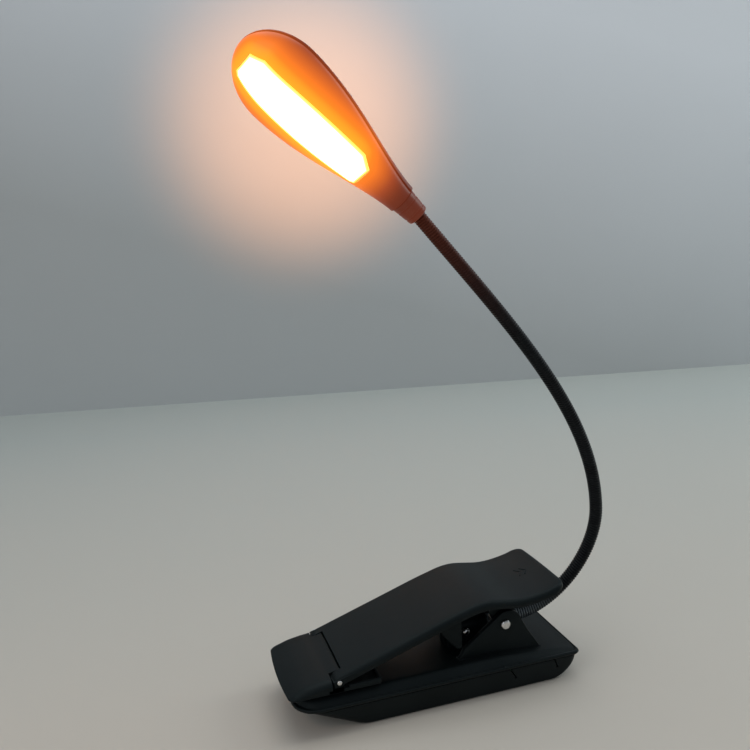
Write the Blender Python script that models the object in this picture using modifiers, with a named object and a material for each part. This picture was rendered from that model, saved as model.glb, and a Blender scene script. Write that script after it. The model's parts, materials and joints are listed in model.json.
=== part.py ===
"""Clip-on rechargeable reading lamp.

A spring clip (base housing, press lever, self-levelling jaw foot) carries a flexible gooseneck
and a spoon-shaped lamp head with an amber light strip.

Frame: +X points to the handle end of the clip, -X to the jaw, +Z is up, and -Y is the near side.
The origin lies on the underside of the base, straight below the clip's pivot pin.
"""
import math

import bmesh
import bpy
import numpy as np
from mathutils import Matrix, Vector

MM = 0.001
RAD = math.radians

# ---------------------------------------------------------------- clearances
GAP = 0.3 * MM             # between pieces that rest on each other or are pressed together
RUNNING_GAP = 0.3 * MM     # round a pin that turns in its hole
WIRE_GAP = 0.4 * MM        # round a lead in its bore

# ---------------------------------------------------------------- base housing
BASE_REAR_X = 26.5 * MM
BASE_FRONT_X = -80.2 * MM
BASE_HALF_WIDTH = 20.6 * MM
RIM_Z = 9.0 * MM           # top of the lower shell
RIM_HEIGHT = 1.2 * MM      # height of the cover's rim band
COVER_TOP_Z = 13.2 * MM
DECK_REAR_Z = 10.6 * MM
DECK_BREAK_X = -4.0 * MM   # the cover's top falls away behind this line
FRONT_CORNER = 9.5 * MM
REAR_CORNER = 2.2 * MM
FLANK_INSET = 4.6 * MM
WALL = 1.6 * MM
SOLE_FRONT_X = -59.5 * MM
SOLE_REAR_X = 15.4 * MM
FLANK_TAPER = 2.2 * MM     # how much narrower the sole is than the rim, each side

# ---------------------------------------------------------------- clip pivot
PIVOT_Z = 23.2 * MM
PIN_RADIUS = 1.4 * MM
RIVET_HEAD_RADIUS = 1.9 * MM
RIVET_HEAD = 0.8 * MM
EAR_OUTER = 13.4 * MM
EAR_THICKNESS = 2.1 * MM
LUG_THICKNESS = 1.7 * MM
LUG_RADIUS = 3.3 * MM
WEB_THICKNESS = 1.5 * MM

# ---------------------------------------------------------------- lever and jaw foot
LEVER_HALF_WIDTH = 19.4 * MM
LEVER_FRONT_X = -66.4 * MM
LEVER_REAR_X = 22.3 * MM
LEVER_THICKNESS = 1.6 * MM
LEVER_EDGE_RADIUS = LEVER_THICKNESS + 0.3 * MM
LEVER_CROWN = 0.35 * MM    # how much lower the plate is at its edges
LEVER_REAR_CORNER = 4.5 * MM
SKIRT_FRONT = LEVER_EDGE_RADIUS + 1.2 * MM
SKIRT_REAR = LEVER_EDGE_RADIUS + 0.7 * MM
FOOT_PIN_X = -64.3 * MM
FOOT_PIN_Z = 18.4 * MM
FOOT_PIN_RADIUS = 0.75 * MM
FOOT_FRONT_X = -82.9 * MM
FOOT_REAR_X = -49.5 * MM
FOOT_HALF_WIDTH = 19.8 * MM
FOOT_BOTTOM_Z = 15.0 * MM
FOOT_WALL_TOP_Z = 17.0 * MM
FOOT_FLOOR = 1.0 * MM
FOOT_WALL = 1.1 * MM
TONGUE_HALF_WIDTH = 13.8 * MM
TONGUE_REAR_X = -62.7 * MM
EAR_SLOT_X = -67.1 * MM
EAR_SLOT_REAR_X = -61.0 * MM
PIN_EAR_RADIUS = 1.9 * MM  # the lever's ears round the foot pin
PAD_THICKNESS = 0.8 * MM
PAD_PROUD = 0.4 * MM       # how far the foot's pad stands below it
PAD_MARGIN = 2.0 * MM      # from the foot's edge to its pad pocket

# ---------------------------------------------------------------- gooseneck
NECK_RADIUS = 2.5 * MM
NECK_BORE = 1.3 * MM
LEAD_RADIUS = 0.8 * MM
NECK_ROOT_Z = PIVOT_Z - PIN_RADIUS - NECK_RADIUS - 0.4 * MM    # passes just under the pivot pin
NECK_BEND_X = 46.2 * MM    # rearmost point of the neck's curve
NECK_BEND_Z = 56.3 * MM
NECK_LINKS = 6
FIRST_JOINT = 28.0 * MM    # along the neck from where it leaves its socket
BALL_GAP = 0.3 * MM

# ---------------------------------------------------------------- lamp head
COLLAR_END = Vector((-19.6 * MM, 0, 171.3 * MM))
HEAD_ELEVATION = RAD(45.8)
HEAD_ROLL = RAD(41)        # the light strip is turned towards the near side
COLLAR_LENGTH = 8.2 * MM
COLLAR_END_RADIUS = NECK_RADIUS + 1.3 * MM
COLLAR_TOP_RADIUS = NECK_RADIUS + 2.1 * MM
HEAD_LENGTH = 71.0 * MM
HEAD_HALF_WIDTH = 16.2 * MM
SHOULDER_RADIUS = COLLAR_TOP_RADIUS + 0.7 * MM
FRONT_DEPTH = 9.0 * MM
BACK_DEPTH = 4.8 * MM
NOSE_LENGTH = 18.0 * MM
HEAD_WALL = 1.4 * MM
LENS_START = 13.5 * MM
LENS_END = HEAD_LENGTH - 7.0 * MM
LENS_HALF_WIDTH = 7.2 * MM
LENS_END_HALF_WIDTH = 5.2 * MM
LENS_CHAMFER = 3.0 * MM
LENS_THICKNESS = 1.2 * MM
LED_COUNT = 6

SIDES = 20

for old in list(bpy.data.objects):
    bpy.data.objects.remove(old, do_unlink=True)


def collection(name):
    made = bpy.data.collections.new(name)
    bpy.context.scene.collection.children.link(made)
    return made


LAMP = collection("clip_reading_lamp")
CUTTERS = collection("cutters")


# ---------------------------------------------------------------- materials
def material(name, colour, roughness, metallic=0.0):
    made = bpy.data.materials.new(name)
    made.use_nodes = True
    shader = made.node_tree.nodes["Principled BSDF"]
    shader.inputs["Base Color"].default_value = (*colour, 1)
    shader.inputs["Roughness"].default_value = roughness
    shader.inputs["Metallic"].default_value = metallic
    return made


HOUSING = material("housing_plastic", (0.018, 0.021, 0.024), 0.42)
HEAD_PLASTIC = material("head_plastic", (0.020, 0.018, 0.017), 0.40)
RUBBER = material("rubber", (0.012, 0.012, 0.012), 0.85)
STEEL = material("steel", (0.60, 0.60, 0.60), 0.25, 1.0)
BLACK_STEEL = material("black_steel", (0.03, 0.032, 0.035), 0.35, 1.0)
DIFFUSER = material("diffuser", (1.0, 0.72, 0.36), 0.35)
BOARD = material("circuit_board", (0.02, 0.16, 0.07), 0.5)
CELL = material("battery_wrap", (0.10, 0.22, 0.48), 0.4)
CHIP = material("led_chip", (0.95, 0.78, 0.35), 0.4)
COPPER = material("lead_insulation", (0.30, 0.03, 0.02), 0.5)


# ---------------------------------------------------------------- building blocks
def empty(name, matrix):
    made = bpy.data.objects.new(name, None)
    LAMP.objects.link(made)
    made.matrix_world = matrix
    return made


def add(name, mesh, finish, frame=None):
    """A named piece; with a frame, the mesh is in that frame's own axes."""
    made = bpy.data.objects.new(name, mesh)
    LAMP.objects.link(made)
    mesh.materials.append(finish)
    if frame is not None:
        made.parent = frame
    return made


def from_bmesh(shape, smooth=True):
    mesh = bpy.data.meshes.new("shape")
    shape.to_mesh(mesh)
    shape.free()
    if smooth:
        mesh.shade_smooth()
        mesh.set_sharp_from_angle(angle=RAD(35))
    return mesh


def box(low, high):
    shape = bmesh.new()
    size = [b - a for a, b in zip(low, high)]
    middle = [(a + b) / 2 for a, b in zip(low, high)]
    place = Matrix.Translation(middle) @ Matrix.Diagonal((*size, 1))
    bmesh.ops.create_cube(shape, size=1, matrix=place)
    return from_bmesh(shape, smooth=False)


def rod(start, end, radius, end_radius=None, sides=SIDES):
    """A cylinder or cone from one point to another."""
    start, end = Vector(start), Vector(end)
    along = end - start
    turn = along.to_track_quat("Z", "Y").to_matrix().to_4x4()
    shape = bmesh.new()
    bmesh.ops.create_cone(
        shape, cap_ends=True, segments=sides, radius1=radius,
        radius2=radius if end_radius is None else end_radius, depth=along.length,
        matrix=Matrix.Translation((start + end) / 2) @ turn)
    return from_bmesh(shape)


def ball(centre, radius, sides=SIDES):
    shape = bmesh.new()
    bmesh.ops.create_uvsphere(shape, u_segments=sides, v_segments=sides // 2, radius=radius,
                              matrix=Matrix.Translation(centre))
    return from_bmesh(shape)


def curve_mesh(curve):
    """The closed mesh of a curve object's tube or slab, with its caps welded on."""
    made = bpy.data.objects.new("guide", curve)
    LAMP.objects.link(made)
    bpy.context.view_layer.update()
    mesh = bpy.data.meshes.new_from_object(made.evaluated_get(bpy.context.evaluated_depsgraph_get()))
    shape = bmesh.new()
    shape.from_mesh(mesh)
    bmesh.ops.remove_doubles(shape, verts=shape.verts, dist=1e-6)
    bmesh.ops.recalc_face_normals(shape, faces=shape.faces)
    bpy.data.objects.remove(made, do_unlink=True)
    bpy.data.curves.remove(curve)
    return from_bmesh(shape)


def poly_curve(points, cyclic, dimensions):
    curve = bpy.data.curves.new("guide", "CURVE")
    curve.dimensions = dimensions
    spline = curve.splines.new("POLY")
    spline.points.add(len(points) - 1)
    for point, place in zip(spline.points, points):
        point.co = (*place, 1)
    spline.use_cyclic_u = cyclic
    return curve


def tube(points, radius, resolution=4):
    """A round rod along a route of points."""
    curve = poly_curve([tuple(p) for p in points], False, "3D")
    curve.bevel_depth = radius
    curve.bevel_resolution = resolution
    curve.use_fill_caps = True
    return curve_mesh(curve)


def slab(outline, low, high, upright=False):
    """A flat outline made thick: in plan from z low to high, or upright in XZ from y low to high."""
    curve = poly_curve([(a, b, 0) for a, b in outline], True, "2D")
    curve.fill_mode = "BOTH"
    curve.extrude = (high - low) / 2
    mesh = curve_mesh(curve)
    if upright:
        mesh.transform(Matrix.Translation((0, (low + high) / 2, 0)) @ Matrix.Rotation(RAD(90), 4, "X"))
    else:
        mesh.transform(Matrix.Translation((0, 0, (low + high) / 2)))
    return mesh


def turned(profile, sides=SIDES):
    """A solid of revolution about X; the profile's (x, radius) points run from the axis to the axis."""
    shape = bmesh.new()
    row = [shape.verts.new((x, 0, r)) for x, r in profile]
    for a, b in zip(row, row[1:]):
        shape.edges.new((a, b))
    mesh = from_bmesh(shape, smooth=False)
    made = bpy.data.objects.new("guide", mesh)
    LAMP.objects.link(made)
    screw = made.modifiers.new("turn", "SCREW")
    screw.axis = "X"
    screw.steps = screw.render_steps = sides
    screw.use_merge_vertices = True
    screw.merge_threshold = 1e-6
    bpy.context.view_layer.update()
    done = bpy.data.meshes.new_from_object(made.evaluated_get(bpy.context.evaluated_depsgraph_get()))
    bpy.data.objects.remove(made, do_unlink=True)
    shape = bmesh.new()
    shape.from_mesh(done)
    bmesh.ops.remove_doubles(shape, verts=shape.verts, dist=1e-6)
    bmesh.ops.recalc_face_normals(shape, faces=shape.faces)
    return from_bmesh(shape)


def loft(loops):
    """A closed solid through closed loops; each end is capped with strips from side to side."""
    shape = bmesh.new()
    rings = [[shape.verts.new(p) for p in loop] for loop in loops]
    count = len(rings[0])
    for lower, upper in zip(rings, rings[1:]):
        for j in range(count):
            k = (j + 1) % count
            shape.faces.new((lower[j], lower[k], upper[k], upper[j]))
    for ring in (rings[0], rings[-1]):
        near, far = ring[:count // 2], ring[:count // 2 - 1:-1]
        for a, b, c, d in zip(near, near[1:], far[1:], far):
            shape.faces.new((a, b, c, d))
    bmesh.ops.recalc_face_normals(shape, faces=shape.faces)
    return from_bmesh(shape)


def tool(name, mesh, frame=None):
    made = bpy.data.objects.new(name, mesh)
    CUTTERS.objects.link(made)
    made.hide_render = True
    made.display_type = "WIRE"
    if frame is not None:
        made.parent = frame
    return made


def combine(piece, operation, *meshes, frame=None):
    for number, mesh in enumerate(meshes):
        cutter = tool(f"{piece.name}_{operation.lower()}_{len(piece.modifiers)}", mesh, frame)
        step = piece.modifiers.new(f"{operation.lower()}_{number}", "BOOLEAN")
        step.operation = operation
        step.solver = "EXACT"
        step.object = cutter


def cut(piece, *meshes, frame=None):
    combine(piece, "DIFFERENCE", *meshes, frame=frame)


def join(piece, *meshes, frame=None):
    combine(piece, "UNION", *meshes, frame=frame)


def clip(piece, *meshes, frame=None):
    combine(piece, "INTERSECT", *meshes, frame=frame)


# ---------------------------------------------------------------- outlines and curves
def arc(centre, radius, first, last, steps):
    """Points on a circle, angles in degrees."""
    angles = np.radians(np.linspace(first, last, steps))
    return [(centre[0] + radius * math.cos(a), centre[1] + radius * math.sin(a)) for a in angles]


def plan_outline(front_x, rear_x, half_width, front_radius, rear_radius, stations=(), steps=5):
    """A rectangle with round corners, counter-clockwise; its first half is the near side.

    Stations are further x positions on the straight sides.
    """
    near = arc((front_x + front_radius, -half_width + front_radius), front_radius, 180, 270, steps)
    near += [(x, -half_width) for x in stations]
    near += arc((rear_x - rear_radius, -half_width + rear_radius), rear_radius, 270, 360, steps)
    return near + [(x, -y) for x, y in reversed(near)]


def smooth_curve(knots, steps=12):
    """A Catmull-Rom curve through the knots."""
    knots = np.asarray(knots, float)
    ends = np.vstack([2 * knots[0] - knots[1], knots, 2 * knots[-1] - knots[-2]])
    t = np.linspace(0, 1, steps, endpoint=False)[:, None]
    points = []
    for a, b, c, d in zip(ends, ends[1:], ends[2:], ends[3:]):
        points.append(0.5 * (2 * b + (c - a) * t + (2 * a - 5 * b + 4 * c - d) * t**2
                             + (3 * b - a - 3 * c + d) * t**3))
    return np.vstack([*points, knots[-1:]])


def bezier(start, start_handle, end_handle, end, steps=40):
    t = np.linspace(0, 1, steps)[:, None]
    return (start * (1 - t)**3 + 3 * start_handle * t * (1 - t)**2
            + 3 * end_handle * t**2 * (1 - t) + end * t**3)


# ---------------------------------------------------------------- base: lower shell
PIN_HOLE = PIN_RADIUS + RUNNING_GAP
EAR_INNER = EAR_OUTER - EAR_THICKNESS
SOLE_HALF_WIDTH = BASE_HALF_WIDTH - FLANK_TAPER
SHELL_HALF_WIDTH = BASE_HALF_WIDTH - 0.6 * MM
SCREW_Y = SOLE_HALF_WIDTH - 5.2 * MM
SCREW_X = (SOLE_FRONT_X + 6.5 * MM, SOLE_REAR_X - 3.9 * MM)
SCREW_PLACES = [(x, side * SCREW_Y) for x in SCREW_X for side in (-1, 1)]
SCREW_HEAD_RADIUS = 1.7 * MM
SCREW_RADIUS = 0.75 * MM
SCREW_HEAD_Z = 0.6 * MM
SCREW_SEAT_Z = 1.7 * MM
SCREW_TOP_Z = 9.6 * MM
BOSS_RADIUS = 3.1 * MM
BOSS_TOP_Z = 3.4 * MM
BOARD_LOW = Vector((-18.0 * MM, -12.5 * MM, 3.6 * MM))
BOARD_HIGH = Vector((8.0 * MM, SOLE_HALF_WIDTH - 3.5 * MM, 4.6 * MM))
BUTTON_X = -14.2 * MM
BUTTON_Z = 6.0 * MM
BUTTON_HALF = (3.2 * MM, 1.5 * MM)
BUTTON_TRAVEL = 0.5 * MM
SOCKET_X = 4.1 * MM
SOCKET_HALF = (3.75 * MM, 1.3 * MM)
SOCKET_Z = BOARD_HIGH.z + GAP + SOCKET_HALF[1]
LIGHT_X = [-8.2 * MM + k * 2.3 * MM for k in range(4)]
LIGHT_Z = 6.0 * MM
LIGHT_RADIUS = 0.55 * MM
LATCH_SLITS = (-0.2 * MM, 16.2 * MM)     # either side of the near snap latch


def side_wall(z):
    """Half width of the lower shell's outer surface at height z."""
    return SOLE_HALF_WIDTH + (SHELL_HALF_WIDTH - SOLE_HALF_WIDTH) * z / RIM_Z


def shell_loop(z, inset=0.0):
    """The lower shell's plan at height z: its ends rise outwards like a boat's."""
    share = max(z - inset, 0) / RIM_Z
    front_rim = BASE_FRONT_X + 1.4 * MM
    rear_rim = BASE_REAR_X - 0.9 * MM
    front = SOLE_FRONT_X + (front_rim - SOLE_FRONT_X) * share
    rear = SOLE_REAR_X + (rear_rim - SOLE_REAR_X) * math.sqrt(share * max(2 - share, 0))
    sole_corner = 6.5 * MM
    corner = sole_corner + (FRONT_CORNER - sole_corner) * share
    end_inset = 0.4 * inset
    flat = plan_outline(front + end_inset, rear - end_inset, side_wall(z) - inset,
                        corner - end_inset, 3.0 * MM - end_inset)
    return [(x, y, z) for x, y in flat]


def lower_shell():
    sole = [(x * 0.985 - 0.33 * MM, y * 0.97, 0.0) for x, y, _ in shell_loop(0.0)]
    outer = [sole] + [shell_loop(z * MM) for z in (0.5, 1.5, 3.0, 5.0, 7.0)] + [shell_loop(RIM_Z)]
    piece = add("base_lower_shell", loft(outer), HOUSING)
    inner = [shell_loop(z, WALL) for z in (WALL, 2.6 * MM, 4.2 * MM, 6.2 * MM, 8.0 * MM, RIM_Z + MM)]
    cut(piece, loft(inner))
    low = WALL * 0.4
    for x, y in SCREW_PLACES:
        join(piece, rod((x, y, low), (x, y, BOSS_TOP_Z), BOSS_RADIUS))
        cut(piece, rod((x, y, -MM), (x, y, SCREW_SEAT_Z), SCREW_HEAD_RADIUS + GAP))
        cut(piece, rod((x, y, -MM), (x, y, BOSS_TOP_Z + MM), SCREW_RADIUS + GAP))
    for x, y in board_posts():
        join(piece, rod((x, y, low), (x, y, BOARD_LOW.z - GAP), 1.5 * MM, sides=12))
    inner, outer = side_wall(BUTTON_Z) - 4 * MM, side_wall(BUTTON_Z) + 2 * MM
    half_x, half_z = (h + RUNNING_GAP for h in BUTTON_HALF)
    cut(piece, box((BUTTON_X - half_x, inner, BUTTON_Z - half_z),
                   (BUTTON_X + half_x, outer, BUTTON_Z + half_z)))
    half_x, half_z = (h + GAP for h in SOCKET_HALF)
    cut(piece, box((SOCKET_X - half_x, inner, SOCKET_Z - half_z),
                   (SOCKET_X + half_x, outer, SOCKET_Z + half_z)))
    for x in LIGHT_X:
        cut(piece, rod((x, inner, LIGHT_Z), (x, outer, LIGHT_Z), LIGHT_RADIUS + GAP, sides=12))
    for x in LATCH_SLITS:
        half = 0.25 * MM
        cut(piece, box((x - half, -SHELL_HALF_WIDTH - MM, RIM_Z - 3.4 * MM),
                       (x + half, -SHELL_HALF_WIDTH + WALL + MM, RIM_Z + MM)))
    return piece


def board_posts():
    inset = 2.2 * MM
    return [(BOARD_LOW.x + inset, BOARD_LOW.y + inset), (BOARD_LOW.x + inset, BOARD_HIGH.y - inset),
            (BOARD_HIGH.x - inset, BOARD_LOW.y + inset)]


# ---------------------------------------------------------------- base: top cover
DECK_STATIONS = (-40 * MM, DECK_BREAK_X, 4 * MM, 14 * MM)


def deck_z(x):
    """Height of the cover's top: level over the jaw, falling to the handle end."""
    share = np.clip((x - DECK_BREAK_X) / (BASE_REAR_X - 2 * MM - DECK_BREAK_X), 0, 1)
    return float(COVER_TOP_Z - (COVER_TOP_Z - DECK_REAR_Z) * share)


def cover_loop(inset, drop, end_inset):
    """A loop of the cover; drop is how far it lies below the top surface."""
    flat = plan_outline(BASE_FRONT_X + end_inset, BASE_REAR_X - 0.45 * end_inset,
                        BASE_HALF_WIDTH - inset, max(FRONT_CORNER - inset, 4 * MM), REAR_CORNER,
                        DECK_STATIONS)
    return [(x, y, deck_z(x) - drop * (deck_z(x) - RIM_Z - RIM_HEIGHT)) for x, y in flat]


def ear_outline():
    """A rounded triangular ear round the pivot, seen from the side."""
    top = arc((1.2 * MM, PIVOT_Z - 0.6 * MM), 5.6 * MM, 128, 12, 9)
    foot = [(13.8 * MM, deck_z(13.8 * MM) - 0.8 * MM), (-18.6 * MM, COVER_TOP_Z - 0.8 * MM)]
    return foot + [(-15.9 * MM, COVER_TOP_Z + 4 * MM)] + top


SOCKET_RADIUS = NECK_RADIUS + 1.5 * MM
SOCKET_REAR_X = -PIN_RADIUS - 1.0 * MM
SOCKET_FRONT_X = -19.5 * MM
SET_SCREW_X = -12.2 * MM
LEAD_DROP_X = -16.6 * MM
ROOT_START_X = -14.0 * MM


def top_cover():
    rim = plan_outline(BASE_FRONT_X, BASE_REAR_X, BASE_HALF_WIDTH, FRONT_CORNER, REAR_CORNER,
                       DECK_STATIONS)
    outer = [[(x, y, RIM_Z + GAP) for x, y in rim], [(x, y, RIM_Z + RIM_HEIGHT) for x, y in rim],
             cover_loop(0.8 * MM, 0.95, 0.6 * MM), cover_loop(0.6 * FLANK_INSET, 0.30, 1.4 * MM),
             cover_loop(FLANK_INSET, 0.0, 2.6 * MM)]
    piece = add("base_top_cover", loft(outer), HOUSING)
    rim = plan_outline(BASE_FRONT_X + WALL, BASE_REAR_X - WALL, BASE_HALF_WIDTH - WALL,
                       FRONT_CORNER - WALL, 1.2 * MM, DECK_STATIONS)
    inner = [[(x, y, RIM_Z - MM) for x, y in rim], [(x, y, RIM_Z + 0.5 * MM) for x, y in rim],
             cover_loop(FLANK_INSET + 0.5 * MM, 0.0, 4.6 * MM)]
    inner[2] = [(x, y, z - WALL) for x, y, z in inner[2]]
    cut(piece, loft(inner))
    for side in (-1, 1):
        inner, outer = sorted((side * EAR_INNER, side * EAR_OUTER))
        join(piece, slab(ear_outline(), inner, outer, upright=True))
    axis = lambda x: (x, 0, NECK_ROOT_Z)
    join(piece, rod(axis(SOCKET_FRONT_X), axis(SOCKET_REAR_X), SOCKET_RADIUS))
    join(piece, box((SOCKET_FRONT_X, -SOCKET_RADIUS, COVER_TOP_Z - 0.8 * MM),
                    (SOCKET_REAR_X, SOCKET_RADIUS, NECK_ROOT_Z)))
    for x, y in SCREW_PLACES:
        top_z = deck_z(x) - 0.7 * MM
        join(piece, rod((x, y, BOSS_TOP_Z + GAP), (x, y, top_z), BOSS_RADIUS - 0.8 * MM))
        cut(piece, rod((x, y, 0), (x, y, SCREW_TOP_Z + 0.5 * MM), SCREW_RADIUS + GAP))
    cut(piece, rod(axis(LEAD_DROP_X - 1.6 * MM), axis(SOCKET_REAR_X + MM), NECK_RADIUS + GAP))
    cut(piece, rod((LEAD_DROP_X, 0, 0), (LEAD_DROP_X, 0, NECK_ROOT_Z), LEAD_RADIUS + WIRE_GAP))
    cut(piece, rod((SET_SCREW_X, -SOCKET_RADIUS - MM, NECK_ROOT_Z), (SET_SCREW_X, 0, NECK_ROOT_Z),
                   SCREW_RADIUS + GAP, sides=16))
    reach = EAR_OUTER + MM
    cut(piece, rod((0, -reach, PIVOT_Z), (0, reach, PIVOT_Z), PIN_HOLE))
    return piece


# ---------------------------------------------------------------- base: small pieces
def base_pieces():
    pad_low = COVER_TOP_Z + GAP
    pad = plan_outline(BASE_FRONT_X + 3.4 * MM, FOOT_REAR_X, BASE_HALF_WIDTH - FLANK_INSET - MM,
                       5 * MM, 1.5 * MM)
    add("base_grip_pad", slab(pad, pad_low, pad_low + PAD_THICKNESS), RUBBER)

    cell = add("battery_cell", box((-48.9 * MM, -14 * MM, WALL + GAP),
                                   (-19.6 * MM, 14 * MM, WALL + GAP + 5.5 * MM)), CELL)
    edge = cell.modifiers.new("edge", "BEVEL")
    edge.width, edge.segments = 1.2 * MM, 2

    add("main_board", box(BOARD_LOW, BOARD_HIGH), BOARD)

    inner_wall = side_wall(SOCKET_Z - SOCKET_HALF[1]) - WALL - GAP
    low = (SOCKET_X - SOCKET_HALF[0], inner_wall - 5.4 * MM, SOCKET_Z - SOCKET_HALF[1])
    high = (SOCKET_X + SOCKET_HALF[0], inner_wall + 1.2 * MM, SOCKET_Z + SOCKET_HALF[1])
    socket = add("charging_socket", box(low, high), STEEL)
    lip = 0.3 * MM
    cut(socket, box((low[0] + lip, low[1] + MM, low[2] + lip), (high[0] - lip, high[1] + MM, high[2] - lip)))
    join(socket, box((SOCKET_X - 1.9 * MM, low[1] + 0.5 * MM, SOCKET_Z - 0.3 * MM),
                     (SOCKET_X + 1.9 * MM, high[1] - 1.5 * MM, SOCKET_Z + 0.3 * MM)))

    guide_y = side_wall(BOARD_HIGH.z) - WALL - GAP
    guide = add("indicator_light_guide", box((LIGHT_X[0] - MM, guide_y - 1.3 * MM, BOARD_HIGH.z + GAP),
                                             (LIGHT_X[-1] + MM, guide_y, LIGHT_Z + MM)), DIFFUSER)
    for x in LIGHT_X:
        join(guide, rod((x, guide_y - 0.6 * MM, LIGHT_Z), (x, side_wall(LIGHT_Z) + 0.1 * MM, LIGHT_Z),
                        LIGHT_RADIUS, sides=12))

    for number, (x, y) in enumerate(SCREW_PLACES, 1):
        screw = add(f"housing_screw_{number}", rod((x, y, SCREW_HEAD_Z), (x, y, SCREW_SEAT_Z - GAP),
                                                   SCREW_HEAD_RADIUS, sides=20), BLACK_STEEL)
        join(screw, rod((x, y, SCREW_SEAT_Z - 0.8 * MM), (x, y, SCREW_TOP_Z), SCREW_RADIUS, sides=12))

    start = -SOCKET_RADIUS - GAP
    dome = [(0, 0), (0, 1.5 * MM), (-0.7 * MM, 1.5 * MM), (-1.4 * MM, 1.15 * MM), (-1.8 * MM, 0.6 * MM),
            (-1.9 * MM, 0)]
    mesh = turned([(x, r) for x, r in reversed(dome)], sides=20)
    mesh.transform(Matrix.Translation((SET_SCREW_X, start, NECK_ROOT_Z)) @ Matrix.Rotation(RAD(90), 4, "Z"))
    screw = add("neck_set_screw", mesh, STEEL)
    join(screw, rod((SET_SCREW_X, start - 0.5 * MM, NECK_ROOT_Z),
                    (SET_SCREW_X, -NECK_RADIUS - GAP, NECK_ROOT_Z), SCREW_RADIUS, sides=12))

    seat = EAR_OUTER + GAP
    profile = [(-seat - RIVET_HEAD, 0), (-seat - RIVET_HEAD, 1.2 * MM), (-seat - 0.5 * RIVET_HEAD, 1.7 * MM),
               (-seat, RIVET_HEAD_RADIUS), (-seat, PIN_RADIUS)]
    profile += [(-x, r) for x, r in reversed(profile)]
    mesh = turned(profile)
    mesh.transform(Matrix.Translation((0, 0, PIVOT_Z)) @ Matrix.Rotation(RAD(90), 4, "Z"))
    add("pivot_pin", mesh, STEEL)


def torsion_spring(name, middle_y, side):
    """A coil round the pivot pin whose two legs push the lever's handle away from the cover."""
    wire = 0.4 * MM
    coil_radius = 3.0 * MM
    turns = 3.5
    pitch = 1.0 * MM
    steps = 10
    angles = np.radians(90) - np.linspace(0, turns * 2 * math.pi, int(turns * steps) + 1)
    across = middle_y + side * pitch * turns * (np.linspace(0, 1, len(angles)) - 0.5)
    coil = [(coil_radius * math.cos(a), y, PIVOT_Z + coil_radius * math.sin(a))
            for a, y in zip(angles, across)]
    lever_side = (12.0 * MM, coil[0][1], lever_z(12.0 * MM) - LEVER_THICKNESS - wire - 0.4 * MM)
    cover_side = (11.0 * MM, coil[-1][1], deck_z(11.0 * MM) + wire + GAP)
    route = [lever_side] + coil + [cover_side]
    add(name, tube(route, wire, resolution=1), STEEL)


# ---------------------------------------------------------------- power button
def power_button():
    frame = empty("power_button_axis", Matrix.Translation((BUTTON_X, side_wall(BUTTON_Z), BUTTON_Z)))
    half_x, half_z = BUTTON_HALF
    flange_out = -WALL - 0.5 * MM
    flange_in = flange_out - 0.8 * MM
    cap = add("power_button", box((-half_x, flange_out - 0.3 * MM, -half_z), (half_x, 0.8 * MM, half_z)),
              HOUSING, frame)
    edge = cap.modifiers.new("edge", "BEVEL")
    edge.width, edge.segments = 0.35 * MM, 2
    join(cap, box((-half_x - 0.8 * MM, flange_in, -half_z + 0.2 * MM),
                  (half_x + 0.8 * MM, flange_out, half_z - 0.2 * MM)), frame=frame)
    wall = side_wall(BUTTON_Z)
    tip = wall + flange_in - BUTTON_TRAVEL - GAP
    body_high = BOARD_HIGH.z + GAP
    switch = add("tact_switch", box((BUTTON_X - 2.2 * MM, tip - 4.0 * MM, body_high),
                                    (BUTTON_X + 2.2 * MM, tip - 0.7 * MM, body_high + 2.8 * MM)), BLACK_STEEL)
    join(switch, rod((BUTTON_X, tip - 1.2 * MM, BUTTON_Z), (BUTTON_X, tip, BUTTON_Z), 0.9 * MM, sides=16))


# ---------------------------------------------------------------- lever
LEVER_SPINE = smooth_curve([
    (LEVER_FRONT_X, 19.7 * MM), (-40 * MM, 28.0 * MM), (-20 * MM, 34.2 * MM), (-9 * MM, 36.4 * MM),
    (4 * MM, 34.8 * MM), (14 * MM, 35.8 * MM), (LEVER_REAR_X, 38.3 * MM)])


def lever_z(x):
    """Height of the lever's upper surface on the centre line."""
    return float(np.interp(x, LEVER_SPINE[:, 0], LEVER_SPINE[:, 1]))


def lever_surface(x, inset):
    """A cross-section from edge to edge, of the lever's upper surface or of one set in below it."""
    skirt = float(np.interp(x, (-10 * MM, LEVER_REAR_X), (SKIRT_FRONT, SKIRT_REAR)))
    skirt = min(skirt, lever_z(x) - FOOT_PIN_Z + PIN_EAR_RADIUS)  # stays over the foot's slot
    flat = LEVER_HALF_WIDTH - LEVER_EDGE_RADIUS
    near = [(0.5 * flat, -0.25 * LEVER_CROWN - inset), (flat, -LEVER_CROWN - inset)]
    near += arc((flat, -LEVER_CROWN - LEVER_EDGE_RADIUS), LEVER_EDGE_RADIUS - inset, 50, 0, 2)
    near += [(LEVER_HALF_WIDTH - inset, -skirt)]
    points = [(-y, dz) for y, dz in reversed(near)] + near
    return [(x, y, lever_z(x) - PIVOT_Z + dz) for y, dz in points]


def side_lug():
    """A lug from the lever's plate down round the pivot pin."""
    round_end = arc((0, PIVOT_Z), LUG_RADIUS, 180, 360, 11)
    top = [(x, lever_z(x) - 0.9 * MM) for x in (8 * MM, 4 * MM, 0, -4 * MM, -8 * MM)]
    return round_end + top


def side_web():
    """A triangular guard ahead of the ear that hides the spring."""
    top = [(x, lever_z(x) - 1.3 * MM) for x in (-16.9 * MM, -21.5 * MM, -26.0 * MM)]
    return top + [(-24.6 * MM, 25.4 * MM), (-19.0 * MM, 17.7 * MM), (-17.2 * MM, 17.7 * MM)]


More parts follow.
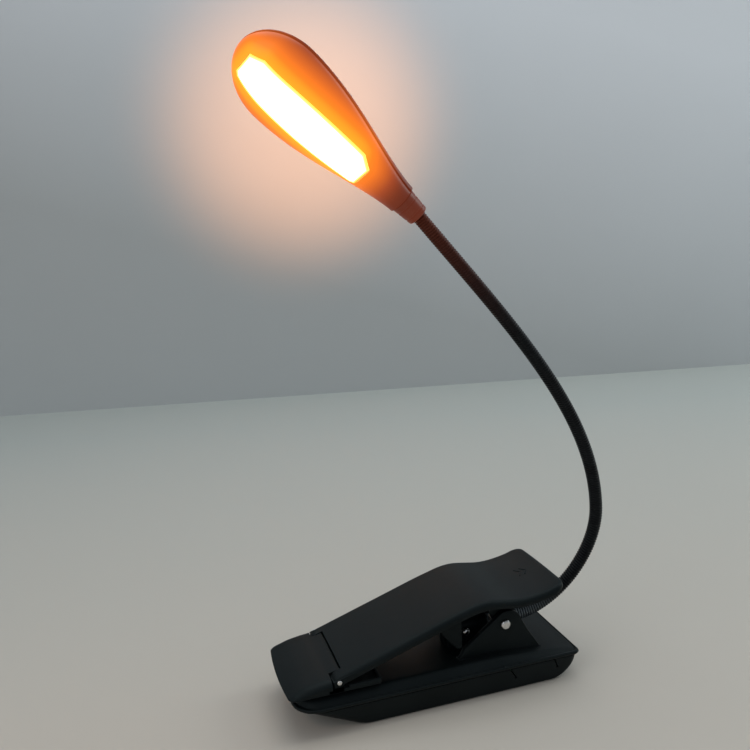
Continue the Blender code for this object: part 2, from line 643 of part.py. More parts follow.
def pin_ear():
    """The plate's front corner carried down round the foot pin."""
    round_end = arc((FOOT_PIN_X, FOOT_PIN_Z), PIN_EAR_RADIUS, 195, 300, 6)
    rear_x = FOOT_PIN_X + 6 * MM
    front_x = LEVER_FRONT_X + 0.02 * MM
    return round_end + [(rear_x, lever_z(rear_x) - 1.4 * MM), (front_x, lever_z(LEVER_FRONT_X) - 0.9 * MM)]


def lever():
    frame = empty("lever_axis", Matrix.Translation((0, 0, PIVOT_Z)))
    stations = np.linspace(LEVER_FRONT_X, LEVER_REAR_X + MM, 19)
    rings = [lever_surface(x, 0) + lever_surface(x, LEVER_THICKNESS)[::-1] for x in stations]
    piece = add("lever", loft(rings), HOUSING, frame)

    outline = plan_outline(LEVER_FRONT_X, LEVER_REAR_X, LEVER_HALF_WIDTH + MM, 1.0 * MM,
                           LEVER_REAR_CORNER + MM)
    clip(piece, slab(outline, 10 * MM, 45 * MM))
    for side in (-1, 1):
        inner, outer = sorted((side * (EAR_INNER - GAP - LUG_THICKNESS), side * (EAR_INNER - GAP)))
        join(piece, slab(side_lug(), inner, outer, upright=True))
        inner, outer = sorted((side * (EAR_OUTER - WEB_THICKNESS + 0.2 * MM), side * (EAR_OUTER + 0.2 * MM)))
        join(piece, slab(side_web(), inner, outer, upright=True))
        inner, outer = sorted((side * (TONGUE_HALF_WIDTH + GAP), side * (LEVER_HALF_WIDTH - 0.05 * MM)))
        join(piece, slab(pin_ear(), inner, outer, upright=True))
    cut(piece, box((LEVER_FRONT_X - MM, -TONGUE_HALF_WIDTH - GAP, 10 * MM),
                   (TONGUE_REAR_X + GAP, TONGUE_HALF_WIDTH + GAP, 30 * MM)))
    reach = LEVER_HALF_WIDTH + 2 * MM
    cut(piece, rod((0, -reach, PIVOT_Z), (0, reach, PIVOT_Z), PIN_HOLE))
    cut(piece, rod((FOOT_PIN_X, -reach, FOOT_PIN_Z), (FOOT_PIN_X, reach, FOOT_PIN_Z),
                   FOOT_PIN_RADIUS + GAP, sides=16))
    return piece, frame


def foot_pin(lever_frame):
    seat = LEVER_HALF_WIDTH + GAP - 0.05 * MM
    profile = [(-seat - 0.35 * MM, 0), (-seat - 0.35 * MM, 0.6 * MM), (-seat, 1.05 * MM),
               (-seat, FOOT_PIN_RADIUS)]
    profile += [(-x, r) for x, r in reversed(profile)]
    mesh = turned(profile, sides=16)
    place = Matrix.Translation((FOOT_PIN_X, 0, FOOT_PIN_Z - PIVOT_Z)) @ Matrix.Rotation(RAD(90), 4, "Z")
    mesh.transform(place)
    add("foot_pin", mesh, STEEL, lever_frame)


# ---------------------------------------------------------------- jaw foot
def foot_side():
    """The foot's outline from the side: a drooping nose, the hinge tongue and a low tray behind it."""
    nose = smooth_curve([(FOOT_FRONT_X, FOOT_BOTTOM_Z + 0.6 * MM), (-80.6 * MM, 16.6 * MM),
                         (-76.0 * MM, 18.3 * MM), (-71.0 * MM, 19.2 * MM), (EAR_SLOT_X, 19.6 * MM)], steps=3)
    tongue = [(TONGUE_REAR_X, lever_z(TONGUE_REAR_X) - 0.3 * MM), (TONGUE_REAR_X, FOOT_WALL_TOP_Z)]
    tray = [(FOOT_REAR_X, FOOT_WALL_TOP_Z), (FOOT_REAR_X, FOOT_BOTTOM_Z)]
    return [(FOOT_FRONT_X + 0.5 * MM, FOOT_BOTTOM_Z)] + [tuple(p) for p in nose] + tongue + tray


def foot_plan():
    """The foot from above: a slightly bowed front edge with small corner radii."""
    corner, bow = 2.4 * MM, 1.2 * MM
    half = FOOT_HALF_WIDTH
    near = arc((FOOT_FRONT_X + bow + corner, -half + corner), corner, 270, 192, 5)
    far = [(x, -y) for x, y in reversed(near)]
    return near + [(FOOT_FRONT_X + 0.05 * MM, 0)] + far + [(FOOT_REAR_X + MM, half), (FOOT_REAR_X + MM, -half)]


def jaw_foot():
    frame = empty("jaw_foot_axis", Matrix.Translation((FOOT_PIN_X, 0, FOOT_PIN_Z)))
    mesh = slab(foot_side(), -FOOT_HALF_WIDTH - MM, FOOT_HALF_WIDTH + MM, upright=True)
    mesh.transform(Matrix.Translation((-FOOT_PIN_X, 0, -FOOT_PIN_Z)))
    piece = add("jaw_foot", mesh, HOUSING, frame)
    clip(piece, slab(foot_plan(), FOOT_BOTTOM_Z - MM, 25 * MM))
    pocket_z = FOOT_BOTTOM_Z + PAD_THICKNESS + GAP - PAD_PROUD
    floor_z = pocket_z + FOOT_FLOOR
    wall_y = FOOT_HALF_WIDTH - FOOT_WALL
    cut(piece, box((TONGUE_REAR_X, -wall_y, floor_z), (FOOT_REAR_X - FOOT_WALL, wall_y, 25 * MM)))
    for side in (-1, 1):
        low, high = sorted((side * TONGUE_HALF_WIDTH, side * (FOOT_HALF_WIDTH + MM)))
        cut(piece, box((EAR_SLOT_X, low, FOOT_PIN_Z - PIN_EAR_RADIUS - GAP),
                       (EAR_SLOT_REAR_X, high, 25 * MM)))
    front, rear, half = FOOT_FRONT_X + 2 * PAD_MARGIN, FOOT_REAR_X - PAD_MARGIN, FOOT_HALF_WIDTH - PAD_MARGIN
    cut(piece, box((front, -half, FOOT_BOTTOM_Z - MM), (rear, half, pocket_z)))
    hollow_y = half - 2 * MM
    cut(piece, box((front + 2 * MM, -hollow_y, FOOT_BOTTOM_Z - MM),
                   (EAR_SLOT_X - 2 * MM, hollow_y, FOOT_WALL_TOP_Z)))
    reach = TONGUE_HALF_WIDTH + 2 * MM
    cut(piece, rod((FOOT_PIN_X, -reach, FOOT_PIN_Z), (FOOT_PIN_X, reach, FOOT_PIN_Z),
                   FOOT_PIN_RADIUS + 0.25 * MM, sides=16))
    pad = box((front + GAP, -half + GAP, FOOT_BOTTOM_Z - PAD_PROUD), (rear - GAP, half - GAP, pocket_z - GAP))
    pad.transform(Matrix.Translation((-FOOT_PIN_X, 0, -FOOT_PIN_Z)))
    add("jaw_foot_pad", pad, RUBBER, frame)


# ---------------------------------------------------------------- gooseneck
HEAD_AXIS = Vector((-math.cos(HEAD_ELEVATION), 0, math.sin(HEAD_ELEVATION)))
NECK_TOP_HEADING = RAD(128.5)


def neck_route():
    """The neck's centre line: level out of its socket, up round one bend, then a long lean forward."""
    root = np.array((8 * MM, 0, NECK_ROOT_Z))
    bend = np.array((NECK_BEND_X, 0, NECK_BEND_Z))
    top = np.array(COLLAR_END)
    heading = np.array((math.cos(NECK_TOP_HEADING), 0, math.sin(NECK_TOP_HEADING)))
    up = np.array((0, 0, 1.0))
    level = np.array((1.0, 0, 0))
    straight = np.array([(ROOT_START_X, 0, NECK_ROOT_Z)])
    lower = bezier(root, root + 20 * MM * level, bend - 18 * MM * up, bend)
    upper = bezier(bend, bend + 38 * MM * up, top - 50 * MM * heading, top)
    return np.vstack([straight, lower, upper[1:]])


ROUTE = neck_route()
ROUTE_LENGTH = np.concatenate([[0], np.cumsum(np.linalg.norm(np.diff(ROUTE, axis=0), axis=1))])
SOCKET_EXIT = SOCKET_REAR_X - ROOT_START_X
NECK_END = ROUTE_LENGTH[-1] - 3.0 * MM
JOINT_AT = np.linspace(SOCKET_EXIT + FIRST_JOINT, NECK_END - 3.0 * MM, NECK_LINKS + 1)


def route_point(length):
    return np.array([np.interp(length, ROUTE_LENGTH, ROUTE[:, k]) for k in range(3)])


def route_part(start, end, step=5 * MM):
    count = max(2, int(round((end - start) / step)) + 1)
    return np.array([route_point(s) for s in np.linspace(start, end, count)])


def neck_piece(name, start, end, frame, cup, dome):
    """A stretch of the neck, with a hollow cup round the joint below and a domed end at the joint above."""
    home = Matrix.Translation(-frame.matrix_world.translation)
    mesh = tube(route_part(start, end), NECK_RADIUS)
    mesh.transform(home)
    piece = add(name, mesh, BLACK_STEEL, frame)
    if dome:
        join(piece, ball(route_point(end), NECK_RADIUS - 0.01 * MM, sides=12))
    reach = 4 * MM
    before = route_point(start) - (route_point(start + MM) - route_point(start)) * 4
    bore = np.vstack([[before], route_part(start, end), [2 * route_point(end) - route_point(end - reach)]])
    cut(piece, tube(bore, NECK_BORE, resolution=2))
    if cup:
        cut(piece, ball(route_point(start), NECK_RADIUS + BALL_GAP, sides=14))
    return piece


def neck_lead(name, points, frame):
    mesh = tube(points, LEAD_RADIUS, resolution=1)
    mesh.transform(Matrix.Translation(-frame.matrix_world.translation))
    add(name, mesh, COPPER, frame)


def neck():
    base_frame = empty("neck_root_axis", Matrix.Identity(4))
    neck_piece("neck_root_tube", 0, JOINT_AT[0], base_frame, cup=False, dome=True)
    inside = NECK_RADIUS - 0.3 * MM
    turn = LEAD_DROP_X + 2.3 * MM
    elbow = [(x, 0, z) for x, z in arc((turn, NECK_ROOT_Z - 2.3 * MM), 2.3 * MM, 180, 90, 5)]
    drop = [(LEAD_DROP_X, 0, BOARD_HIGH.z + GAP)] + elbow
    rest = route_part(turn - ROOT_START_X + MM, JOINT_AT[0] + inside - 2.3 * MM)
    neck_lead("neck_root_lead", np.vstack([drop, rest]), base_frame)
    for number, (start, end) in enumerate(zip(JOINT_AT, JOINT_AT[1:]), 1):
        frame = empty(f"neck_joint_{number}", Matrix.Translation(route_point(start)))
        neck_piece(f"neck_link_{number}", start, end, frame, cup=True, dome=True)
        neck_lead(f"neck_lead_{number}", route_part(start + NECK_RADIUS + 0.8 * MM, end - 0.2 * MM), frame)


# ---------------------------------------------------------------- lamp head
def head_frame():
    """Own axes: +X along the head to its tip, +Z out of the light strip."""
    down = Vector((-HEAD_AXIS.z, 0, HEAD_AXIS.x))
    normal = Matrix.Rotation(-HEAD_ROLL, 3, HEAD_AXIS) @ down
    if normal.y > 0:
        normal = Matrix.Rotation(HEAD_ROLL, 3, HEAD_AXIS) @ down
    across = normal.cross(HEAD_AXIS)
    turn = Matrix((HEAD_AXIS, across, normal)).transposed().to_4x4()
    return Matrix.Translation(COLLAR_END + HEAD_AXIS * COLLAR_LENGTH) @ turn


def swell(s):
    """0 at the shoulder, 1 at the widest place."""
    t = min(max(s / (HEAD_LENGTH - NOSE_LENGTH), 0), 1)
    return math.sin(math.pi / 2 * t)**1.4


def nose(s):
    """1 along the head, falling to 0 round the tip."""
    t = max(s - (HEAD_LENGTH - NOSE_LENGTH), 0) / NOSE_LENGTH
    return math.sqrt(max(1 - t * t, 0))


def half_width(s):
    return (SHOULDER_RADIUS + (HEAD_HALF_WIDTH - SHOULDER_RADIUS) * swell(s)) * nose(s)


def front_depth(s):
    return (SHOULDER_RADIUS + (FRONT_DEPTH - SHOULDER_RADIUS) * swell(s)) * nose(s)


def back_depth(s):
    return (SHOULDER_RADIUS + (BACK_DEPTH - SHOULDER_RADIUS) * swell(s)) * nose(s)


def head_stations():
    body = list(np.linspace(0, HEAD_LENGTH - NOSE_LENGTH, 8))
    tip = [HEAD_LENGTH - NOSE_LENGTH + NOSE_LENGTH * math.sin(RAD(a)) for a in (20, 40, 57, 72, 86)]
    return body + tip


def half_section(s, x, depth, wall, seam_z, steps=14):
    """Half an ellipse at station s, drawn at x, set in by the wall and closed at height seam_z."""
    angles = np.linspace(0, math.pi, steps)
    wide = max(half_width(s) - wall, 0.2 * MM)
    deep = max(depth(s) - wall, 0.2 * MM)
    ring = [(x, wide * math.cos(a), GAP / 2 + deep * math.sin(a)) for a in angles[1:-1]]
    return [(x, wide, seam_z)] + ring + [(x, -wide, seam_z)]


def head_half(name, depth, sign, frame):
    """One half shell: half-elliptical cross-sections, closed over the tip, open at the shoulder."""
    outer = [half_section(s, s, depth, 0, GAP / 2) for s in head_stations()]
    shrink = (HEAD_LENGTH - HEAD_WALL) / HEAD_LENGTH
    inner = [half_section(s, s * shrink - (MM if s == 0 else 0), depth, HEAD_WALL, -MM)
             for s in head_stations()]
    shells = [[[(x, y, sign * z) for x, y, z in ring] for ring in rings] for rings in (outer, inner)]
    piece = add(name, loft(shells[0]), HEAD_PLASTIC, frame)
    cut(piece, loft(shells[1]), frame=frame)
    return piece


def lens_half_width(s):
    t = (s - (LENS_START + LENS_END) / 2) / ((LENS_END - LENS_START) / 2)
    return LENS_HALF_WIDTH - (LENS_HALF_WIDTH - LENS_END_HALF_WIDTH) * t * t


def lens_outline(grow=0.0):
    """The light strip seen square on: bowed long sides and cut corners."""
    ends = [LENS_START, LENS_START + LENS_CHAMFER]
    middle = np.linspace(LENS_START + LENS_CHAMFER, LENS_END - LENS_CHAMFER, 9)[1:-1]
    stations = ends + list(middle) + [LENS_END - LENS_CHAMFER, LENS_END]
    side = []
    for s in stations:
        width = lens_half_width(s) - (LENS_CHAMFER * 0.7 if s in (LENS_START, LENS_END) else 0)
        shift = -grow if s == LENS_START else grow if s == LENS_END else 0
        side.append((s + shift, width + grow))
    return side


def lens(frame):
    rings = []
    for s, width in lens_outline():
        top = [(s, w, front_depth(s) * math.sqrt(1 - (w / half_width(s))**2) + GAP / 2)
               for w in np.linspace(-width, width, 7)]
        rings.append(top + [(x, y, z - LENS_THICKNESS) for x, y, z in reversed(top)])
    add("light_diffuser", loft(rings), DIFFUSER, frame)


def lamp_head():
    frame = empty("head_axis", head_frame())
    front = head_half("head_front_cover", front_depth, 1, frame)
    side = lens_outline(grow=GAP)
    window = side + [(s, -w) for s, w in reversed(side)]
    cut(front, slab(window, MM, 20 * MM), frame=frame)
    back = head_half("head_back_shell", back_depth, -1, frame)
    lens(frame)

    collar = turned([(-COLLAR_LENGTH, 0), (-COLLAR_LENGTH, COLLAR_END_RADIUS - 0.3 * MM),
                     (-COLLAR_LENGTH + 0.3 * MM, COLLAR_END_RADIUS), (-GAP, COLLAR_TOP_RADIUS),
                     (-GAP, SHOULDER_RADIUS - HEAD_WALL - GAP), (5 * MM, SHOULDER_RADIUS - HEAD_WALL - GAP),
                     (5 * MM, 0)])
    piece = add("head_collar", collar, HEAD_PLASTIC, frame)
    cut(piece, rod((-COLLAR_LENGTH - MM, 0, 0), (1.5 * MM, 0, 0), NECK_RADIUS + GAP), frame=frame)
    cut(piece, rod((0, 0, 0), (6 * MM, 0, 0), LEAD_RADIUS + WIRE_GAP, sides=16), frame=frame)

    board_x = (LENS_START + 0.5 * MM, LENS_END - 2.0 * MM)
    board_z = (1.4 * MM, 2.4 * MM)
    add("led_board", box((board_x[0], -5 * MM, board_z[0]), (board_x[1], 5 * MM, board_z[1])), BOARD, frame)
    for x in (board_x[0] + 8 * MM, board_x[1] - 8 * MM):
        join(back, rod((x, 0, HEAD_WALL / 2 - back_depth(x)), (x, 0, board_z[0] - GAP), 1.8 * MM, sides=12),
             frame=frame)
    pitch = (board_x[1] - board_x[0]) / LED_COUNT
    for number in range(LED_COUNT):
        x = board_x[0] + (number + 0.5) * pitch
        low = board_z[1] + GAP
        add(f"led_{number + 1}", box((x - 1.75 * MM, -1.4 * MM, low), (x + 1.75 * MM, 1.4 * MM, low + 0.9 * MM)),
            CHIP, frame)
    neck_in_collar(frame)


def neck_in_collar(frame):
    """The neck's last short stretch, pressed in the collar, and the lead on to the light board."""
    place = frame.matrix_world
    start = JOINT_AT[-1]
    seat = np.array(place @ Vector((1.0 * MM, 0, 0)))
    entry = np.array(place @ Vector((-COLLAR_LENGTH + 0.5 * MM, 0, 0)))
    middle = np.array(place @ Vector((-COLLAR_LENGTH / 2, 0, 0)))
    points = np.vstack([route_part(start, ROUTE_LENGTH[-1] - MM, 2.5 * MM)[:-1], [entry], [middle], [seat]])
    mesh = tube(points, NECK_RADIUS)
    home = place.inverted()
    mesh.transform(home)
    piece = add("neck_end_tube", mesh, BLACK_STEEL, frame)
    before = points[0] - (points[1] - points[0]) * 2
    after = np.array(place @ Vector((4 * MM, 0, 0)))
    bore = np.vstack([[before], points, [after]])
    cut(piece, tube(bore, NECK_BORE, resolution=2))
    cut(piece, ball(points[0], NECK_RADIUS + BALL_GAP, sides=14))
    lead_start = route_part(start + NECK_RADIUS + 0.8 * MM, ROUTE_LENGTH[-1] - MM, 2.5 * MM)[:-1]
    on_board = [np.array(place @ Vector(p)) for p in ((7 * MM, 0, 0), (10 * MM, 0, 0.5 * MM),
                                                      (LENS_START + 2.5 * MM, 0, 1.4 * MM - GAP - LEAD_RADIUS))]
    lead = tube(np.vstack([lead_start, [entry], [middle], [seat], on_board]), LEAD_RADIUS, resolution=1)
    lead.transform(home)
    add("head_lead", lead, COPPER, frame)


lower_shell()
top_cover()
base_pieces()
for near_or_far, side in (("near", -1), ("far", 1)):
    torsion_spring(f"torsion_spring_{near_or_far}", side * 6.9 * MM, side)
power_button()
_, LEVER_FRAME = lever()
foot_pin(LEVER_FRAME)
jaw_foot()
neck()
lamp_head()
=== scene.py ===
"""Clip-on reading lamp: the finished looks of every visible piece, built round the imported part.

+X is the clip's handle end, -X its jaw, -Y the near side and +Z up. Shapes are worked out in
millimetres and made into meshes in metres.
"""

import json
import math

import bmesh
import bpy
import numpy as np
from mathutils import Matrix, Vector


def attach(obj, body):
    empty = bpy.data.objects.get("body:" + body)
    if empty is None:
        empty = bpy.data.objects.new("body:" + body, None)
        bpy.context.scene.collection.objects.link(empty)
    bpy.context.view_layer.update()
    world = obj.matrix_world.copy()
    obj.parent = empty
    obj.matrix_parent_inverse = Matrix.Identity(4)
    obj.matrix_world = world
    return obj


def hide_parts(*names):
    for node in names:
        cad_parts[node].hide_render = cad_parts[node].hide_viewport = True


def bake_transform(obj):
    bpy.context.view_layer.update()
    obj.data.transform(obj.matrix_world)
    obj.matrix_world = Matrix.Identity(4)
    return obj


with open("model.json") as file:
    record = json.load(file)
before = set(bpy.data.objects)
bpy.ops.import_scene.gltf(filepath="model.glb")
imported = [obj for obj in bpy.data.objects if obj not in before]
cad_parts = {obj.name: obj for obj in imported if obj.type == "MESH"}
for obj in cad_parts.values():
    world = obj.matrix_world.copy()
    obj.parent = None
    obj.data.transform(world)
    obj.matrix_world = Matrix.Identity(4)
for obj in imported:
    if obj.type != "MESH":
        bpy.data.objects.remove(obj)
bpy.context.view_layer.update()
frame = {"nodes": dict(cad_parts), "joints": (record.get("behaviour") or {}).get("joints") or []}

# ------------------------------------------------------------------ base lower shell
# A boat-shaped tray: rounded sole edge, flanks that lean out, a rolled rim. Two slanted slits
# free the snap latch on the near side; the far side has the button, port and charge-light holes.


def feed(node, values):
    """Sets a node's inputs by name or number: each takes a link from a socket, or a constant."""
    for name, value in values.items():
        if isinstance(value, bpy.types.NodeSocket):
            node.id_data.links.new(value, node.inputs[name])
        else:
            node.inputs[name].default_value = value


def put(tree, kind, values=None, **settings):
    """A shader node: settings are its properties, values what its inputs take."""
    made = tree.nodes.new(kind)
    for name, value in settings.items():
        setattr(made, name, value)
    feed(made, values or {})
    return made


def shader_group(name, inputs, outputs):
    """An empty node group with typed sockets, and its input and output nodes."""
    tree = bpy.data.node_groups.new(name, "ShaderNodeTree")
    for label, kind, value in inputs:
        socket = tree.interface.new_socket(label, in_out="INPUT", socket_type=kind)
        socket.default_value = value
    for label, kind in outputs:
        tree.interface.new_socket(label, in_out="OUTPUT", socket_type=kind)
    return tree, tree.nodes.new("NodeGroupInput"), tree.nodes.new("NodeGroupOutput")


def ramp(tree, factor, stops):
    """A colour ramp through (position, colour) stops."""
    made = put(tree, "ShaderNodeValToRGB", {"Fac": factor})
    band = made.color_ramp
    band.elements[0].position, band.elements[0].color = stops[0][0], (*stops[0][1], 1)
    band.elements[1].position, band.elements[1].color = stops[-1][0], (*stops[-1][1], 1)
    for position, colour in stops[1:-1]:
        band.elements.new(position).color = (*colour, 1)
    return made.outputs["Color"]


def shade(tree, factor, low, high, start=0.0, stop=1.0, kind="LINEAR"):
    """A value that runs from low to high as the factor runs from start to stop."""
    made = put(tree, "ShaderNodeMapRange", {"Value": factor, "From Min": start, "From Max": stop,
                                            "To Min": low, "To Max": high}, interpolation_type=kind)
    return made.outputs["Result"]


def product(tree, first, second):
    """Two values multiplied."""
    return put(tree, "ShaderNodeMath", {0: first, 1: second}, operation="MULTIPLY").outputs[0]


def mixed(tree, factor, first, second):
    """A colour that runs from the first to the second as the factor runs from 0 to 1."""
    made = put(tree, "ShaderNodeMix", {"Factor": factor, "A": first, "B": (*second, 1)}, data_type="RGBA")
    return made.outputs["Result"]


def own_place(tree):
    """The place on the piece, in metres."""
    return put(tree, "ShaderNodeTexCoord").outputs["Object"]


def noise(tree, where, scale, detail, roughness=0.5):
    """Layered noise between 0 and 1; scale is in waves for each metre."""
    made = put(tree, "ShaderNodeTexNoise",
               {"Vector": where, "Scale": scale, "Detail": detail, "Roughness": roughness})
    return made.outputs["Fac"]


def bumped(tree, height, strength, distance, **over):
    """The normal of a relief whose depth is distance in metres, over another one's Normal if given."""
    made = put(tree, "ShaderNodeBump", {"Height": height, "Strength": strength, "Distance": distance, **over})
    return made.outputs["Normal"]


# Spark-eroded mould texture: rounded pits a quarter of a millimetre wide over slow swells of the
# surface. Marks is above 0 where faint dust and finger marks lie.
GRAIN, given, out = shader_group(
    "moulded_grain",
    [("Cells", "NodeSocketFloat", 4200.0), ("Depth", "NodeSocketFloat", 0.00002)],
    [("Normal", "NodeSocketVector"), ("Tone", "NodeSocketFloat"), ("Marks", "NodeSocketFloat")])
place = own_place(GRAIN)
pits = put(GRAIN, "ShaderNodeTexVoronoi", {"Vector": place, "Scale": given.outputs["Cells"]},
           feature="SMOOTH_F1")
fine = noise(GRAIN, place, given.outputs["Cells"], 3.0, 0.6)
slow = noise(GRAIN, place, 45.0, 5.0, 0.55)
dust = noise(GRAIN, place, 900.0, 6.0, 0.75)
pitted = bumped(GRAIN, product(GRAIN, pits.outputs["Distance"], fine), 0.75, given.outputs["Depth"])
swollen = bumped(GRAIN, slow, 0.25, 0.0004, Normal=pitted)
speck = shade(GRAIN, dust, 0.0, 1.0, 0.60, 0.74)
smear = shade(GRAIN, slow, 0.0, 1.0, 0.42, 0.68)
feed(out, {"Normal": swollen, "Tone": slow, "Marks": product(GRAIN, speck, smear)})


def new_material(name):
    """A new material, with its node tree and its surface node."""
    made = bpy.data.materials.new(name)
    made.use_nodes = True
    tree = made.node_tree
    return made, tree, tree.nodes["Principled BSDF"]


def plastic(name, dark, light, roughness, cells=4200.0, depth=0.00002):
    """Moulded plastic between two tones, a little lighter where dust and finger marks lie."""
    made, tree, surface = new_material(name)
    grain = put(tree, "ShaderNodeGroup", {"Cells": cells, "Depth": depth}, node_tree=GRAIN)
    tone, marks = grain.outputs["Tone"], grain.outputs["Marks"]
    clean = ramp(tree, tone, [(0.3, dark), (0.7, light)])
    feed(surface, {"Base Color": mixed(tree, shade(tree, marks, 0.0, 0.22), clean, (0.060, 0.062, 0.060)),
                   "Roughness": shade(tree, tone, roughness - 0.05, roughness + 0.06),
                   "Normal": grain.outputs["Normal"],
                   "Specular IOR Level": 0.14,
                   "Specular Tint": (0.82, 0.97, 1.0, 1)})
    return made


HOUSING = plastic("housing_black", (0.0030, 0.0048, 0.0052), (0.0060, 0.0084, 0.0092), 0.46)


def mesh_of(points, faces):
    """A mesh in metres from points in millimetres."""
    mesh = bpy.data.meshes.new("part")
    mesh.from_pydata((np.asarray(points, float) * 0.001).tolist(), [], faces)
    return mesh


def skin(rings, ends="spine"):
    """The closed surface through a stack of rings of (x, y, z) points.

    The first and last ring lie on a line already, or are closed by strips across (ends="strip")
    or by one flat face (ends="flat").
    """
    rings = np.asarray(rings, float)
    n, m = rings.shape[:2]
    i, j = np.meshgrid(np.arange(n - 1), np.arange(m), indexing="ij")
    k = (j + 1) % m
    faces = np.stack([i * m + j, i * m + k, (i + 1) * m + k, (i + 1) * m + j], -1).reshape(-1, 4).tolist()
    for start in (0, (n - 1) * m):
        if ends == "strip":
            a = np.arange(m // 2 - 1)
            strips = np.stack([start + a, start + a + 1, start + m - 2 - a, start + m - 1 - a], -1)
            faces += strips.tolist()
        if ends == "flat":
            faces.append(list(range(start, start + m)))
    return mesh_of(rings.reshape(-1, 3), faces)


def plan_ring(front, rear, half, front_radius, rear_radius, turn=10, side=48, end=8):
    """A round-cornered plan outline from the front's middle along the near side and back."""
    a = np.radians(np.linspace(180, 270, turn))
    b = np.radians(np.linspace(270, 360, turn))
    front_y = np.linspace(0, front_radius - half, end, endpoint=False)
    rear_y = np.linspace(rear_radius - half, 0, end + 1)[1:]
    side_x = np.linspace(front + front_radius, rear - rear_radius, side)[1:-1]
    near = np.concatenate([
        np.column_stack([np.full(end, front), front_y]),
        np.column_stack([front + front_radius * (1 + np.cos(a)), -half + front_radius * (1 + np.sin(a))]),
        np.column_stack([side_x, np.full(side - 2, -half)]),
        np.column_stack([rear - rear_radius * (1 - np.cos(b)), -half + rear_radius * (1 + np.sin(b))]),
        np.column_stack([np.full(end, rear), rear_y])])
    return np.vstack([near, near[-2:0:-1] * (1, -1)])


def at_height(flat, height):
    """A plan outline set at the height that a number or a function of x and y gives."""
    z = height(flat[:, 0], flat[:, 1]) if callable(height) else np.full(len(flat), float(height))
    return np.column_stack([flat[:, :2], z])


def closing(flat, height, steps=10):
    """Rings that draw a plan outline in to a line along its middle."""
    half = np.abs(flat[:, 1]).max() * 0.8
    low, high = sorted((flat[:, 0].min() + half, flat[:, 0].max() - half))
    spine = np.column_stack([np.clip(flat[:, 0], low, high), np.zeros(len(flat))])
    shares = np.linspace(0, 1, steps + 1)[1:]
    return [at_height(flat[:, :2] * (1 - t) + spine * t, height) for t in shares]


def block(low, high, lean=0.0):
    """A box from its low to its high corner; lean moves it along X for each unit below its top."""
    corners = np.array([(x, y, z) for x in (low[0], high[0]) for y in (low[1], high[1])
                        for z in (low[2], high[2])], float)
    corners[:, 0] += lean * (high[2] - corners[:, 2])
    faces = [(0, 1, 3, 2), (4, 6, 7, 5), (0, 4, 5, 1), (2, 3, 7, 6), (0, 2, 6, 4), (1, 5, 7, 3)]
    return mesh_of(corners, faces)


def turned(profile, origin, axis, steps=48):
    """A surface of revolution: (along, radius) pairs from the axis to the axis, about an axis."""
    axis = np.asarray(axis, float)
    axis = axis / np.linalg.norm(axis)
    side = np.cross(axis, (0, 0, 1.0) if abs(axis[2]) < 0.9 else (1.0, 0, 0))
    side = side / np.linalg.norm(side)
    other = np.cross(axis, side)
    angle = np.linspace(0, 2 * np.pi, steps, endpoint=False)[:, None]
    spoke = np.cos(angle) * side + np.sin(angle) * other
    centre = np.asarray(origin)
    return skin([centre + axis * along + spoke * max(radius, 1e-4) for along, radius in profile])


def combined(meshes):
    """Several meshes made one, welded and facing out."""
    shape = bmesh.new()
    for mesh in meshes:
        shape.from_mesh(mesh)
        bpy.data.meshes.remove(mesh)
    bmesh.ops.remove_doubles(shape, verts=shape.verts, dist=4e-7)
    bmesh.ops.dissolve_degenerate(shape, edges=shape.edges, dist=1e-7)
    bmesh.ops.recalc_face_normals(shape, faces=shape.faces)
    made = bpy.data.meshes.new("part")
    shape.to_mesh(made)
    shape.free()
    return made


def carved(mesh, cutters):
    """A closed mesh with other closed meshes taken away, one after the other."""
    base = bpy.data.objects.new("carve", combined([mesh]))
    bpy.context.scene.collection.objects.link(base)
    for cutter in cutters:
        tool = bpy.data.objects.new("cutter", combined([cutter]))
        bpy.context.scene.collection.objects.link(tool)
        step = base.modifiers.new("carve", "BOOLEAN")
        step.operation, step.solver, step.object = "DIFFERENCE", "EXACT", tool
        bpy.context.view_layer.update()
        before, tool_mesh = base.data, tool.data
        cut = bpy.data.meshes.new_from_object(base.evaluated_get(bpy.context.evaluated_depsgraph_get()))
        base.modifiers.clear()
        base.data = cut
        bpy.data.objects.remove(tool, do_unlink=True)
        bpy.data.meshes.remove(tool_mesh)
        bpy.data.meshes.remove(before)
    done = base.data
    bpy.data.objects.remove(base, do_unlink=True)
    return done


def piece(name, meshes, finish, body=None, stands_for=(), sharp=38):
    """A visible piece made of closed meshes, riding on a body of the part."""
    mesh = combined(meshes)
    mesh.name = name
    mesh.shade_smooth()
    mesh.set_sharp_from_angle(angle=math.radians(sharp))
    mesh.materials.clear()
    mesh.materials.append(finish)
    made = bpy.data.objects.new(name, mesh)
    bpy.context.scene.collection.objects.link(made)
    if body:
        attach(made, body)
    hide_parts(*stands_for)
    return made


SHELL_TOP, SHELL_WALL, SOLE_ROUND = 9.0, 1.6, 1.1


def side_wall(z):
    """Half width of the lower shell at height z: 18.4 at the sole, 1.6 more at the rim."""
    return 18.4 + 1.6 * z / SHELL_TOP


def shell_ring(z, inset=0.0):
    """The lower shell's plan at height z; its rear rises on an outward curve, its front on a slope."""
    share = max(z - inset, 0) / SHELL_TOP
    front = -59.5 - 19.3 * share + 0.4 * inset
    rear = 15.4 + 10.2 * math.sqrt(share * max(2 - share, 0)) - 0.4 * inset
    corner = 6.5 + 3.0 * share - 0.4 * inset
    return at_height(plan_ring(front, rear, side_wall(z) - inset, corner, 3.0 - 0.4 * inset), z)


